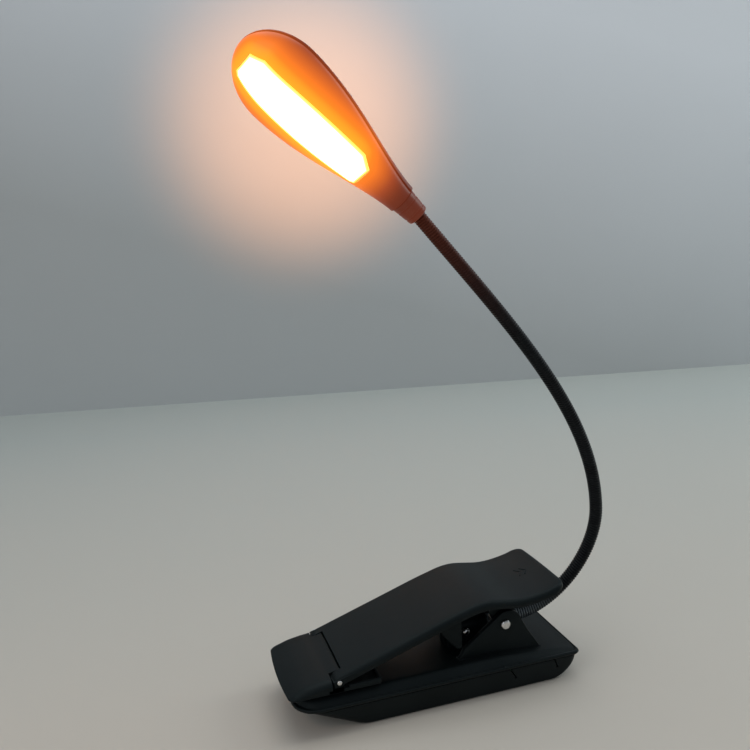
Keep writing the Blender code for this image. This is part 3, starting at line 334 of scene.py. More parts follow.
sole = shell_ring(0.0, SOLE_ROUND)
rings = closing(sole, 0.0, 6)[::-1] + [sole]
rings += [shell_ring(SOLE_ROUND * (1 - math.cos(a)), SOLE_ROUND * (1 - math.sin(a)))
          for a in np.radians((25, 45, 65, 80))]
rings += [shell_ring(z) for z in (1.3, 2.2, 3.2, 4.4, 5.6, 6.8, 7.8, 8.5)]
rings += [shell_ring(8.7 + 0.3 * math.sin(a), 0.3 * (1 - math.cos(a))) for a in np.radians((40, 90))]
rings += [shell_ring(SHELL_TOP, 1.3), shell_ring(8.7, SHELL_WALL)]
rings += [shell_ring(z, SHELL_WALL) for z in (6.5, 4.0, 2.2, 1.7)]
rings += closing(shell_ring(1.65, 2.0), 1.65, 2)
lower = skin(rings)

slits = []
slit_top = 9.6
for top_x, low_x, low_z in ((-2.0, 0.95, 4.8), (15.8, 17.5, 5.4)):
    lean = (low_x - top_x) / (slit_top - low_z)
    slits.append(block((top_x - 0.24, -21.5, low_z), (top_x + 0.24, -17.0, slit_top), lean))
    slits.append(block((low_x - 0.7, -21.5, low_z - 0.12), (low_x + 0.24, -17.0, low_z + 0.3)))
CONTROLS_Z = 6.0
BUTTON_X = -14.2
LIGHTS_X = [-8.2 + 2.3 * k for k in range(4)]
PORT_X, PORT_Z = 4.1, 6.2
SCREWS = [(x, y) for x in (-53.0, 11.5) for y in (-13.2, 13.2)]


def stadium(x, z, half_x, half_z, y_low, y_high, steps=10):
    """A prism with a slot-shaped section, standing along Y."""
    a = np.radians(np.linspace(-90, 90, steps))
    right = np.column_stack([half_x - half_z + half_z * np.cos(a), half_z * np.sin(a)])
    outline = np.vstack([right, -right])
    return skin([np.column_stack([x + outline[:, 0], np.full(len(outline), y), z + outline[:, 1]])
                 for y in (y_low, y_high)], ends="flat")


holes = [stadium(BUTTON_X, CONTROLS_Z, 3.5, 1.8, 15.0, 22.0),
         stadium(PORT_X, PORT_Z, 4.05, 1.6, 15.0, 22.0)]
light_hole = [(0, 0), (0, 0.85), (7, 0.85), (7, 0)]
holes += [turned(light_hole, (x, 15.0, CONTROLS_Z), (0, 1, 0), 24) for x in LIGHTS_X]
screw_hole = [(0, 0), (0, 2.2), (1.3, 2.0), (2.7, 2.0), (2.7, 0)]
holes += [turned(screw_hole, (x, y, -1.0), (0, 0, 1), 36) for x, y in SCREWS]
lower = carved(lower, slits + holes)
screw_seat = [(0, 0), (0, 2.3), (0.1, 2.5), (1.0, 2.5), (1.0, 0)]
seats = [turned(screw_seat, (x, y, 1.7), (0, 0, 1), 24) for x, y in SCREWS]
piece("lower_shell", [lower] + seats, HOUSING, "base", ["base_lower_shell"])

# ------------------------------------------------------------------ base top cover
# A rolled bead runs round the rim, the flank rises on a curve to a deck that falls away towards
# the handle end. Two ears carry the pivot and a bossed socket holds the gooseneck.


def deck_z(x, y=0):
    """The deck's height, its break softened over a few millimetres."""
    past = (x + 4.0) / 2
    fall = past + np.sqrt(past * past + 2.0)
    return 13.2 - 2.6 * np.clip(fall / 28.5, 0, 1)


BASE_FRONT, BASE_REAR, BASE_HALF = -80.2, 26.5, 20.6
FRONT_CORNER, REAR_CORNER = 9.5, 2.2


def cover_ring(t, drop=None, sunk=0.0):
    """The cover's plan at share t of the way up its flank: 0 at the bead, 1 at the deck's edge."""
    inset, end_inset = 1.3 + 3.3 * t, 1.2 + 1.4 * t ** 1.3
    flat = plan_ring(BASE_FRONT + end_inset, BASE_REAR - 0.45 * end_inset, BASE_HALF - inset,
                     max(FRONT_CORNER - inset, 4.0), REAR_CORNER)
    share = 0.97 * (1 - t) ** 1.7 if drop is None else drop
    return at_height(flat, lambda x, y: deck_z(x) - share * (deck_z(x) - 10.2) - sunk)


def rim_ring(inset, z):
    """The rim's plan at height z, set in from the base's outline."""
    return at_height(plan_ring(BASE_FRONT + inset, BASE_REAR - inset, BASE_HALF - inset,
                               FRONT_CORNER - inset, REAR_CORNER), z)


deck = cover_ring(1.0)
rings = closing(deck, deck_z, 12)[::-1] + [deck]
rings += [cover_ring(t) for t in np.linspace(0.94, 0.0, 14)]
rings += [rim_ring(1.22, 10.22), rim_ring(1.12, 10.2)]
rings += [rim_ring(0.56 - 0.56 * math.cos(a), 10.08 + 0.62 * math.sin(a))
          for a in np.radians((165, 140, 115, 90, 68, 46, 24, 0, -30, -60))]
rings += [rim_ring(0.35, 9.33), rim_ring(1.5, 9.3), rim_ring(1.7, 9.5)]
under = cover_ring(0.75, drop=0.0, sunk=1.6)
rings += [under] + closing(under, lambda x, y: deck_z(x) - 1.6, 2)
cover = skin(rings)


def plate(outline, y_low, y_high, bevel=0.25):
    """An upright plate from a side outline of (x, z) points, its edges eased."""
    outline = np.asarray(outline, float)
    back, ahead = outline - np.roll(outline, 1, 0), np.roll(outline, -1, 0) - outline
    normal = sum(np.column_stack([-e[:, 1], e[:, 0]]) / (np.linalg.norm(e, axis=1)[:, None] + 1e-9)
                 for e in (back, ahead))
    area = np.sum(outline[:, 0] * np.roll(outline[:, 1], -1) - outline[:, 1] * np.roll(outline[:, 0], -1))
    normal *= np.sign(area) / np.maximum((normal ** 2).sum(1)[:, None] / 2, 0.5)
    rings = []
    for y, inset in ((y_low, bevel), (y_low + 0.3 * bevel, 0.3 * bevel), (y_low + bevel, 0),
                     (y_high - bevel, 0), (y_high - 0.3 * bevel, 0.3 * bevel), (y_high, bevel)):
        flat = outline + normal * inset
        rings.append(np.column_stack([flat[:, 0], np.full(len(flat), y), flat[:, 1]]))
    return skin(rings, ends="flat")


def plate_pair(outline, y, half, bevel):
    """A plate on each side, its middle y from the centre line and its faces half from its middle."""
    return [plate(outline, side * y - half, side * y + half, bevel) for side in (-1, 1)]


def arc(centre, radius, first, last, steps):
    """Points on a circle from the first to the last angle, in degrees."""
    a = np.radians(np.linspace(first, last, steps))
    return np.column_stack([centre[0] + radius * np.cos(a), centre[1] + radius * np.sin(a)])


EAR_Y, SOCKET_Z = 12.35, 18.9
ear = np.vstack([[(14.0, 10.6), (-18.7, 12.2), (-18.2, 13.8), (-16.1, 17.0)],
                 arc((1.2, 22.6), 5.6, 130, 12, 26), [(9.0, 19.2), (12.9, 12.9)]])
gusset = [(-19.5, 12.6), (15.0, 10.6), (14.0, 11.7), (-18.6, 13.6)]
ears = plate_pair(ear, EAR_Y, 1.05, 0.3) + plate_pair(gusset, EAR_Y, 1.5, 0.5)
boss = turned([(0, 0), (0, 3.3), (0.15, 3.7), (0.5, 4.0), (16.7, 4.0), (17.3, 3.5), (17.3, 2.8), (14.2, 2.8),
               (14.2, 0)], (-19.7, 0, SOCKET_Z), (1, 0, 0), 48)
plinth = plate([(-19.5, 12.5), (-2.4, 12.5), (-2.4, 18.0), (-19.5, 18.0)], -4.0, 4.0, 0.4)
rim_bump = turned([(0, 0), (0, 0.56), (0.3, 0.46), (0.42, 0.2), (0.44, 0)],
                  (-4.0, -20.0, 10.5), (0, -0.5, 1), 20)
piece("top_cover", [cover, boss, plinth, rim_bump] + ears, HOUSING, "base", ["base_top_cover"],
      sharp=30)

# ------------------------------------------------------------------ rubber pads
# The jaw's two faces: matt rubber with fine cross ribs, one on the base and one under the foot.
RUBBER = plastic("rubber_black", (0.008, 0.008, 0.008), (0.016, 0.015, 0.015), 0.80, 2600.0, 0.00004)


def ribbed_pad(x_low, x_high, half, z_face, z_back, pitch=1.6):
    """A flat pad whose face carries rounded ribs across it and eased edges."""
    x = np.arange(x_low, x_high + 0.05, pitch / 8)
    y = half * np.sin(np.linspace(-np.pi / 2, np.pi / 2, 40))
    gx, gy = np.meshgrid(x, y, indexing="ij")
    edge = np.minimum(np.minimum(gx - x_low, x[-1] - gx), half - np.abs(gy))
    ease = 1 - np.clip(1 - edge / 0.5, 0, 1) ** 2 * 0.5
    rib = 1 - 0.3 * np.abs(np.sin(np.pi * (gx - x_low) / pitch)) ** 6
    face = np.stack([gx, gy, z_back + (z_face - z_back) * ease * rib], -1)
    back = np.stack([gx, gy, np.full_like(gx, z_back)], -1)
    return skin([np.vstack([f, b[::-1]]) for f, b in zip(face, back)], ends="strip")


piece("grip_pad", [ribbed_pad(-76.7, -49.6, 14.9, 14.28, 13.4)], RUBBER, "base", ["base_grip_pad"])
piece("foot_pad", [ribbed_pad(-78.5, -51.9, 17.4, 14.62, 15.4)], RUBBER, "foot", ["jaw_foot_pad"])

# ------------------------------------------------------------------ screws, pins and set screw
# Bright steel rivets through the pivot and the foot, a domed set screw on the gooseneck's socket
# and four black cross-head screws in the sole.


def steel(name, dark, light, roughness):
    """Steel between two tones, slightly cloudy, with fine scattered tool marks."""
    made, tree, surface = new_material(name)
    where = own_place(tree)
    marks = noise(tree, where, 9000.0, 2.0)
    feed(surface, {"Base Color": ramp(tree, noise(tree, where, 600.0, 4.0), [(0.3, dark), (0.7, light)]),
                   "Roughness": shade(tree, marks, roughness - 0.06, roughness + 0.10),
                   "Normal": bumped(tree, marks, 0.35, 0.000008),
                   "Metallic": 1.0})
    return made


STEEL = steel("bright_steel", (0.52, 0.52, 0.51), (0.72, 0.72, 0.71), 0.24)
BLACK_STEEL = steel("black_steel", (0.020, 0.021, 0.023), (0.045, 0.046, 0.050), 0.36)
PIVOT_Z, FOOT_PIN_X, FOOT_PIN_Z = 23.2, -64.3, 18.4


def rivet(end, x, z, steps=48):
    """A rivet along Y, both ends alike; end is the near end's (along, radius) profile."""
    return turned(end + [(-along, radius) for along, radius in reversed(end)], (x, 0, z), (0, 1, 0), steps)


wide_end = [(-14.6, 0), (-14.6, 0.5), (-14.5, 0.75), (-14.55, 1.2), (-14.35, 1.6), (-14.0, 1.85),
            (-13.7, 1.9), (-13.5, 1.4)]
piece("pivot_rivet", [rivet(wide_end, 0, PIVOT_Z)], STEEL, "base", ["pivot_pin"])
small_end = [(-20.0, 0), (-20.0, 0.4), (-19.92, 0.66), (-19.7, 0.85), (-19.4, 0.82), (-19.3, 0.75)]
piece("foot_rivet", [rivet(small_end, FOOT_PIN_X, FOOT_PIN_Z, 36)], STEEL, "lever", ["foot_pin"])
dome = [(1.9, 0), (1.85, 0.45), (1.65, 0.95), (1.3, 1.3), (0.8, 1.47), (0.3, 1.5), (0, 1.4), (-0.2, 0.75),
        (-1.4, 0.7), (-1.4, 0)]
piece("socket_set_screw", [turned(dome, (-12.2, -4.3, SOCKET_Z), (0, -1, 0))], STEEL, "base",
      ["neck_set_screw"])
screw = [(0, 0), (0, 1.3), (0.12, 1.6), (0.4, 1.7), (0.8, 1.7), (0.8, 0.75), (9.0, 0.75), (9.0, 0)]
for number, (x, y) in enumerate(SCREWS, 1):
    cross = [block((x - 1.15, y - 0.22, -1.0), (x + 1.15, y + 0.22, 0.95)),
             block((x - 0.22, y - 1.15, -1.0), (x + 0.22, y + 1.15, 0.94))]
    body = carved(turned(screw, (x, y, 0.6), (0, 0, 1), 32), cross)
    piece(f"sole_screw_{number}", [body], BLACK_STEEL, "base", [f"housing_screw_{number}"])

# ------------------------------------------------------------------ button, port and charge lights
# On the far side: a pill-shaped plastic button with three raised ribs, a steel charging port with
# its tongue and gilt contacts, and four small clear light windows.
KEY = plastic("button_grey", (0.030, 0.032, 0.035), (0.045, 0.047, 0.050), 0.55, 3000.0)
FLANK_Y = side_wall(CONTROLS_Z)
cap = [stadium(BUTTON_X, CONTROLS_Z, 3.2 - e, 1.5 - e, FLANK_Y - 2.2, FLANK_Y + h)
       for e, h in ((0.0, 0.45), (0.15, 0.68), (0.4, 0.78))]
cap += [stadium(BUTTON_X + dx, CONTROLS_Z, 0.8, 0.16, FLANK_Y + 0.5, FLANK_Y + 0.8)
        for dx in (-1.6, 0.0, 1.6)]
cap.append(block((BUTTON_X - 3.9, FLANK_Y - 2.9, 4.7), (BUTTON_X + 3.9, FLANK_Y - 2.1, 7.3)))
piece("button_cap", cap, KEY, "button", ["power_button"])

PORT_Y = 18.55
port = carved(stadium(PORT_X, PORT_Z, 3.75, 1.3, PORT_Y - 6.6, PORT_Y, 16),
              [stadium(PORT_X, PORT_Z, 3.45, 1.0, PORT_Y - 5.6, PORT_Y + 1, 16)])
piece("charging_port", [port], STEEL, "base", ["charging_socket"])
tongue = block((2.2, PORT_Y - 6.0, 5.88), (6.0, PORT_Y - 1.5, 6.52))
piece("port_tongue", [tongue], KEY, "base", ())
contacts = [block((2.5 + 0.5 * k, PORT_Y - 3.2, z), (2.75 + 0.5 * k, PORT_Y - 1.7, z + 0.06))
            for k in range(7) for z in (5.85, 6.49)]
GILT = steel("gold_contact", (0.62, 0.42, 0.14), (0.80, 0.58, 0.24), 0.22)
piece("port_contacts", contacts, GILT, "base", ())

CLEAR, tree, surface = new_material("charge_light")
cloud = noise(tree, own_place(tree), 2500.0, 4.0)
feed(surface, {"Base Color": ramp(tree, cloud, [(0.3, (0.50, 0.42, 0.32)), (0.7, (0.80, 0.74, 0.62))]),
               "Roughness": shade(tree, cloud, 0.18, 0.34),
               "Subsurface Weight": 0.3,
               "Subsurface Scale": 0.001})
window_y = FLANK_Y + 0.05
light_pin = [(-3.4, 0), (-3.4, 0.55), (-0.2, 0.55), (-0.05, 0.45), (0.03, 0.25), (0.05, 0)]
pins = [turned(light_pin, (x, window_y, CONTROLS_Z), (0, 1, 0), 24) for x in LIGHTS_X]
bar = block((LIGHTS_X[0] - 1, window_y - 3.3, 4.95), (LIGHTS_X[-1] + 1, window_y - 2.3, 6.9))
piece("charge_lights", pins + [bar], CLEAR, "base", ["indicator_light_guide"])

# ------------------------------------------------------------------ springs
# Two coils of bright wire round the pivot; one leg presses on the deck, the other on the lever.


def curve_through(knots, steps=16):
    """A Catmull-Rom curve through the knots."""
    knots = np.asarray(knots, float)
    ends = np.vstack([2 * knots[0] - knots[1], knots, 2 * knots[-1] - knots[-2]])
    t = np.linspace(0, 1, steps, endpoint=False)[:, None]
    parts = [0.5 * (2 * b + (c - a) * t + (2 * a - 5 * b + 4 * c - d) * t ** 2
                    + (3 * b - a - 3 * c + d) * t ** 3)
             for a, b, c, d in zip(ends, ends[1:], ends[2:], ends[3:])]
    return np.vstack([*parts, knots[-1:]])


LEVER_FRONT, LEVER_REAR, LEVER_FLAT = -66.4, 22.3, 17.5
LEVER_LINE = curve_through([(LEVER_FRONT, 19.7), (-40, 28.0), (-20, 34.2), (-9, 36.4), (4, 34.8), (14, 35.8),
                            (LEVER_REAR, 38.3)], 40)


def lever_z(x, y=0.0):
    """The lever's upper surface: a bent plate, 0.35 lower where its flat part ends at each side."""
    return np.interp(x, LEVER_LINE[:, 0], LEVER_LINE[:, 1]) - 0.35 * (np.asarray(y) / LEVER_FLAT) ** 2


def around_line(points, side, other, radius, count):
    """Rings of count points about a line's points; side and other span each ring's plane."""
    a = np.linspace(0, 2 * np.pi, count, endpoint=False)[None, :, None]
    return points[:, None] + radius * (np.cos(a) * side[:, None] + np.sin(a) * other[:, None])


def wire(route, radius, around=14):
    """A round wire along a route, its section carried along without twist."""
    route = np.asarray(route, float)
    along = np.gradient(route, axis=0)
    along /= np.linalg.norm(along, axis=1)[:, None]
    side = np.cross(along, (0, 1.0, 0.05))
    side /= np.linalg.norm(side, axis=1)[:, None]
    other = np.cross(along, side)
    return skin(around_line(route, side, other, radius, around), ends="flat")


COIL_RADIUS, COIL_TURNS, WIRE_RADIUS = 3.0, 3.5, 0.38
for label, side in (("near", -1), ("far", 1)):
    turn = np.linspace(0, COIL_TURNS * 2 * np.pi, 190)
    across = side * 6.9 + side * 3.5 * (turn / turn[-1] - 0.5)
    coil = np.column_stack([COIL_RADIUS * np.sin(turn), across, PIVOT_Z + COIL_RADIUS * np.cos(turn)])
    upper = np.linspace((12.0, across[0], lever_z(12.0) - 2.4), coil[0], 14)[:-1]
    lower_leg = np.linspace(coil[-1], (11.0, across[-1], deck_z(11.0) + 0.7), 14)[1:]
    spring = piece(f"coil_spring_{label}", [wire(np.vstack([upper, coil, lower_leg]), WIRE_RADIUS)], STEEL,
                   None, [f"torsion_spring_{label}"])
    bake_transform(spring)

# ------------------------------------------------------------------ press lever
# One bent plate with rolled edges and a skirt all round, notched in front for the foot's tongue;
# lugs and guards hang under it and a raised chevron marks where to press.


LEVER_HALF, EDGE_ROUND, PLATE = 19.4, 1.9, 1.6


def lever_ring(inset, drop):
    """The lever's plan set in from its edge; drop is a depth or a function of x."""
    flat = plan_ring(LEVER_FRONT + inset, LEVER_REAR - inset, LEVER_HALF - inset,
                     max(0.9 - inset, 0.25), max(4.5 - inset, 1.2), side=72, end=10)
    deep = drop(flat[:, 0]) if callable(drop) else drop
    return at_height(flat, lambda x, y: lever_z(np.clip(x, LEVER_FRONT, LEVER_REAR),
                                                np.clip(y, -LEVER_FLAT, LEVER_FLAT)) - deep)


def skirt(x):
    """How far the skirt reaches below the plate's upper surface."""
    deep = np.interp(x, (-10, LEVER_REAR), (3.1, 2.6))
    return np.minimum(deep, lever_z(x) - 16.55)


top = lever_ring(EDGE_ROUND, 0.0)
rings = closing(top, lever_z, 16)[::-1] + [top]
rings += [lever_ring(EDGE_ROUND * (1 - math.sin(a)), EDGE_ROUND * (1 - math.cos(a)))
          for a in np.radians((12, 24, 36, 48, 60, 72, 82, 90))]
rings += [lever_ring(0.0, lambda x: skirt(x) - 0.22), lever_ring(0.07, lambda x: skirt(x) - 0.07),
          lever_ring(0.25, skirt), lever_ring(1.35, skirt), lever_ring(1.55, lambda x: skirt(x) - 0.15),
          lever_ring(1.6, 1.95), lever_ring(1.9, PLATE)]
inner = lever_ring(2.2, PLATE)
rings += [inner] + closing(inner, lambda x, y: lever_z(x, y) - PLATE, 5)
parts = [carved(skin(rings), [block((-70, -14.1, 8), (-62.4, 14.1, 30))])]
lug = np.vstack([arc((0, PIVOT_Z), 3.3, 180, 360, 26), [(x, lever_z(x) - 0.9) for x in (8, 4, 0, -4, -8)]])
web = np.vstack([[(x, lever_z(x) - 1.3) for x in (-16.9, -21.5, -26.0)],
                 [(-24.9, 25.0), (-24.2, 23.8), (-19.6, 18.2), (-18.7, 17.7), (-17.2, 17.7)]])
pin_ear = np.vstack([arc((FOOT_PIN_X, FOOT_PIN_Z), 1.9, 195, 300, 16),
                     [(-58.3, lever_z(-58.3) - 1.4), (-66.35, lever_z(LEVER_FRONT) - 0.9)]])
parts += plate_pair(lug, 10.15, 0.85, 0.2)
parts += plate_pair(web, 12.85, 0.75, 0.2)
parts += plate_pair(pin_ear, 16.72, 2.6, 0.15)


def raised_line(points, radius=0.3):
    """A thin raised line that follows the plate."""
    points = np.asarray(points, float)
    t = np.linspace(0, len(points) - 1, 24)
    x, y = (np.interp(t, np.arange(len(points)), points[:, k]) for k in (0, 1))
    return wire(np.column_stack([x, y, lever_z(x, y) - 0.08]), radius, 10)


parts += [raised_line([(x - 1.6, -2.6), (x, 0.0), (x - 1.6, 2.6)]) for x in (13.2, 15.4)]
piece("press_lever", parts, HOUSING, "lever", ["lever"], sharp=32)

# ------------------------------------------------------------------ jaw foot
# A drooping nose with a slightly bowed front edge runs into the hinge tongue; behind it lies a low
# open tray, slotted each side for the lever's ears.
NOSE = curve_through([(-82.9, 15.55), (-80.6, 16.6), (-76.0, 18.3), (-71.0, 19.2), (-67.1, 19.6),
                      (-62.7, 20.5)], 20)
NOSE_FRONT, NOSE_ROUND, FOOT_HALF, FOOT_SOLE = -82.84, 3.2, 19.8, 15.0


def nose_z(x, y=0.0):
    """The nose's upper surface: the side curve, 0.25 lower at a place 19 out from the middle."""
    return np.interp(x, NOSE[:, 0], NOSE[:, 1]) - 0.25 * (np.asarray(y) / 19.0) ** 2


def nose_ring(inset, low=None):
    """The nose's plan, front edge bowed; its upper edge rolls over within NOSE_ROUND of the outline."""
    flat = plan_ring(NOSE_FRONT + inset, -62.7 - 0.1 * inset, FOOT_HALF - inset, max(2.4 - inset, 0.5), 0.3,
                     side=24, end=12)
    flat[:, 0] += 1.2 * (flat[:, 1] / FOOT_HALF) ** 2 * np.clip((-68.0 - flat[:, 0]) / 12, 0, 1)
    if low is not None:
        return at_height(flat, low)
    share = 1 - math.sqrt(max(1 - (1 - min(inset, NOSE_ROUND) / NOSE_ROUND) ** 2, 0))
    return at_height(flat, lambda x, y: nose_z(x, y) - share * np.minimum(2.3, nose_z(x, y) - 15.3))


def ear_slots(x_low, x_high):
    """Blocks that clear a slot for the lever's ear on each side."""
    return [block((x_low, min(s * 13.8, s * 22), 16.2), (x_high, max(s * 13.8, s * 22), 30)) for s in (-1, 1)]


top = nose_ring(NOSE_ROUND)
rings = closing(top, nose_z, 10)[::-1] + [top]
rings += [nose_ring(d) for d in (2.6, 2.0, 1.5, 1.05, 0.7, 0.42, 0.22, 0.1, 0.03, 0.0)]
under = nose_ring(0.15, FOOT_SOLE)
rings += [nose_ring(0.0, 15.15), under] + closing(under, FOOT_SOLE, 2)
nose = carved(skin(rings), ear_slots(-66.85, -60.0))


def tray_ring(inset, z):
    """The tray's plan at height z, set in from its outline."""
    corner = max(0.8 - inset, 0.2)
    return at_height(plan_ring(-69.0 + inset, -49.5 - inset, FOOT_HALF - inset, corner, corner,
                               side=24, end=12, turn=6), z)


floor = tray_ring(1.1, 16.15)
rings = closing(tray_ring(0.2, FOOT_SOLE), FOOT_SOLE, 2)[::-1]
rings += [tray_ring(inset, z) for inset, z in ((0.2, FOOT_SOLE), (0.0, 15.2), (0.0, 16.8), (0.08, 16.95),
                                               (0.25, 17.0), (0.85, 17.0), (1.05, 16.9), (1.1, 16.7))]
rings += [floor] + closing(floor, 16.15, 2)
tray = carved(skin(rings), ear_slots(-70.0, -61.0))
tray_rib = [(-62.9, 16.0), (-50.5, 16.0), (-50.5, 16.6), (-62.9, 16.9)]
ribs = [plate(tray_rib, y - 0.4, y + 0.4, 0.1) for y in (-9, 0, 9)]
piece("jaw_foot_shell", [nose, tray] + ribs, HOUSING, "foot", ["jaw_foot"], sharp=32)

# ------------------------------------------------------------------ gooseneck
# A black coil-wound neck: rounded wire ridges in a tight helix. One piece crosses each joint, meeting its
# neighbours half way along a link. Ridges catch the light, grooves stay dark, and the end by the head is
# tinged by its glow.
def attribute(tree, name):
    """One of the piece's own values."""
    return put(tree, "ShaderNodeAttribute", attribute_name=name).outputs["Fac"]


NECK_BLACK, tree, surface = new_material("gooseneck_black")
where = own_place(tree)
cloud = noise(tree, where, 260.0, 6.0, 0.65)
# Near the root the ridges are painted as bright, more metallic steel: a painted highlight.
bare = attribute(tree, "bare")
# Ridges are painted lighter and grooves darker over a random cloudy tone: a painted highlight on the ridges
# and painted shade in the grooves.
painted_ridge_sheen = ramp(tree, product(tree, attribute(tree, "ridge"), cloud),
            [(0.05, (0.002, 0.002, 0.003)), (0.35, (0.004, 0.005, 0.006)), (0.62, (0.010, 0.012, 0.013))])
with_root_highlight = mixed(tree, bare, painted_ridge_sheen, (0.20, 0.23, 0.25))
# Towards the head the colour is mixed to dark red: a painted glow from the head.
feed(surface, {"Base Color": mixed(tree, attribute(tree, "warmth"), with_root_highlight, (0.115, 0.024, 0.011)),
               "Metallic": shade(tree, bare, 0.18, 0.75),
               "Roughness": shade(tree, cloud, 0.26, 0.44),
               "Normal": bumped(tree, noise(tree, where, 5200.0, 3.0), 0.4, 0.00001),
               "Specular IOR Level": 0.14})


def bezier(a, b, c, d, steps):
    """A cubic curve from a to d that sets off towards b and arrives from c."""
    t = np.linspace(0, 1, steps)[:, None]
    return a * (1 - t) ** 3 + 3 * b * t * (1 - t) ** 2 + 3 * c * t ** 2 * (1 - t) + d * t ** 3


root, bend, top_end = np.array((8, 0, SOCKET_Z)), np.array((46.2, 0, 56.3)), np.array((-19.6, 0, 171.3))
lean = math.radians(128.5)
heading = np.array((math.cos(lean), 0, math.sin(lean)))
NECK = np.vstack([[(-14.0, 0, SOCKET_Z)], bezier(root, root + (20, 0, 0), bend - (0, 0, 18), bend, 400),
                  bezier(bend, bend + (0, 0, 38), top_end - 50 * heading, top_end, 400)[1:]])
REACH = np.concatenate([[0], np.cumsum(np.linalg.norm(np.diff(NECK, axis=0), axis=1))])


def on_neck(s):
    """Points on the neck's middle line at distances s from its root."""
    return np.column_stack([np.interp(s, REACH, NECK[:, k]) for k in range(3)])


def points_of(made):
    """A piece's points in millimetres."""
    co = np.empty(len(made.data.vertices) * 3)
    made.data.vertices.foreach_get("co", co)
    return co.reshape(-1, 3) * 1000


def give_values(made, **layers):
    """Gives each point of a piece one value under each name."""
    for label, values in layers.items():
        layer = made.data.attributes.new(label, "FLOAT", "POINT")
        layer.data.foreach_set("value", values.astype(np.float32))


bends = [j for j in frame["joints"] if j["name"].startswith("neck_bend") or j["name"] == "head_tilt"]
joint_s = [REACH[np.argmin(np.linalg.norm(NECK - np.array(j["pos_m"]) * 1000, axis=1))] for j in bends]
breaks = [0.5] + [(a + b) / 2 for a, b in zip(joint_s, joint_s[1:])] + [REACH[-1] + 0.6]
PITCH, GROOVE_RADIUS, RIDGE = 1.0, 2.13, 0.33
for number, (joint, begin, stop) in enumerate(zip(bends, breaks, breaks[1:])):
    s = np.arange(math.floor(begin / PITCH * 10), math.ceil(stop / PITCH * 10) + 1) * PITCH / 10
    s = np.clip(s, begin, stop)
    s = s[np.concatenate([[True], np.diff(s) > 1e-6])]
    ahead = on_neck(s + 0.3) - on_neck(s - 0.3)
    up = np.cross(ahead / np.linalg.norm(ahead, axis=1)[:, None], (0, 1.0, 0))
    sideways = np.tile((0, 1.0, 0), (len(s), 1))
    phase = (s[:, None] / PITCH - np.linspace(0, 1, 36, endpoint=False)) % 1
    radius = GROOVE_RADIUS + RIDGE * (1 - np.abs(2 * phase - 1) ** 2.6)
    rings = around_line(on_neck(s), up, sideways, radius[..., None], 36)
    last = number == len(bends) - 1
    nodes = [f"neck_link_{number}" if number else "neck_root_tube"] + ["neck_end_tube"] * last
    length = piece(f"gooseneck_{number}", [skin(rings, ends="flat")], NECK_BLACK, None, nodes,
                   sharp=75)
    co = points_of(length)
    station = REACH[::4][np.argmin(((co[:, None, ::2] - NECK[None, ::4, ::2]) ** 2).sum(-1), axis=1)]
    off = np.linalg.norm(co - on_neck(station), axis=1)
    ridge = np.clip((off - GROOVE_RADIUS) / RIDGE, 0, 1)
    # The second value is the painted glow near the head, the third the painted highlight on the ridges near
    # the root.
    give_values(length, ridge=ridge,
                warmth=np.clip(1 - (REACH[-1] - station) / 62.0, 0, 1) ** 2,
                bare=ridge * np.clip(1 - (station - 18) / 26.0, 0, 1))
    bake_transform(length)

# ------------------------------------------------------------------ lamp head shells
# A spoon-shaped head in two shells: the front holds the light window, the back shell's edge shows
# as a thin band round it. The plastic is lit amber close to the light and darkens to the collar.
ELEVATION, ROLL = math.radians(45.8), math.radians(41)
AXIS = Vector((-math.cos(ELEVATION), 0, math.sin(ELEVATION)))
FACING = Vector((-AXIS.z, 0, AXIS.x))
FACING.rotate(Matrix.Rotation(ROLL, 3, AXIS))
HEAD_TURN = np.array((AXIS, FACING.cross(AXIS), FACING)).T
HEAD_AT = top_end + np.array(AXIS) * 8.2
FULLEST, ROUND_END, HEAD_LENGTH, FRONT_DEPTH, SEAM = 53.0, 18.0, 71.0, 9.0, 0.15


def on_head(points):
    """Points in the head's own axes (along, across, out of the light) set in place."""
    return np.asarray(points, float) @ HEAD_TURN.T + HEAD_AT


def swell(s):
    """How far the head has filled out at s: 0 at the collar, 1 from its fullest place on, a sine's rise."""
    return np.sin(np.pi / 2 * np.clip(s / FULLEST, 0, 1)) ** 1.4


def tip(s):
    """How the head closes past its fullest place: 1 up to there, then a quarter circle down to 0."""
    t = np.clip((s - FULLEST) / ROUND_END, 0, 1)
    return np.sqrt(np.clip(1 - t * t, 0, 1))


def head_width(s):
    """The head's half width at s: 5.3 by the collar, 16.2 where it is fullest."""
    return (5.3 + 10.9 * swell(s)) * tip(s)


def head_depth(s, full):
    """A shell's depth at s: 5.3 by the collar, full where it is fullest."""
    return (5.3 + (full - 5.3) * swell(s)) * tip(s)


STATIONS = np.concatenate([np.linspace(0, FULLEST, 54),
                           FULLEST + 17.96 * np.sin(np.radians(np.linspace(2, 89.5, 34)))])


def half_shell(full, sign, edge_in, wall=1.4, steps=49):
    """One shell of the head: outer and inner half-ovals, eased where the two shells meet."""
    rings = []
    phi = np.linspace(0, np.pi, steps)
    for s in STATIONS:
        wide = max(head_width(s) - edge_in, 0.05)
        deep = max(head_depth(s, full), 0.05)
        outer = np.column_stack([np.full(steps, s), wide * np.cos(phi), SEAM + deep * np.sin(phi)])
        outer[0, 1] -= min(0.15, wide * 0.5)
        outer[-1, 1] += min(0.15, wide * 0.5)
        in_wide, in_deep = max(wide - wall, 0.03), max(deep - wall, 0.03)
        inner = np.column_stack([np.full(steps, s * 69.6 / HEAD_LENGTH), in_wide * np.cos(phi),
                                 SEAM + in_deep * np.sin(phi)])
        ring = np.vstack([outer, inner[::-1]])
        ring[:, 2] *= sign
        rings.append(on_head(ring))
    return skin(rings, ends="strip")


WINDOW_START, WINDOW_END = 15.6, 66.4


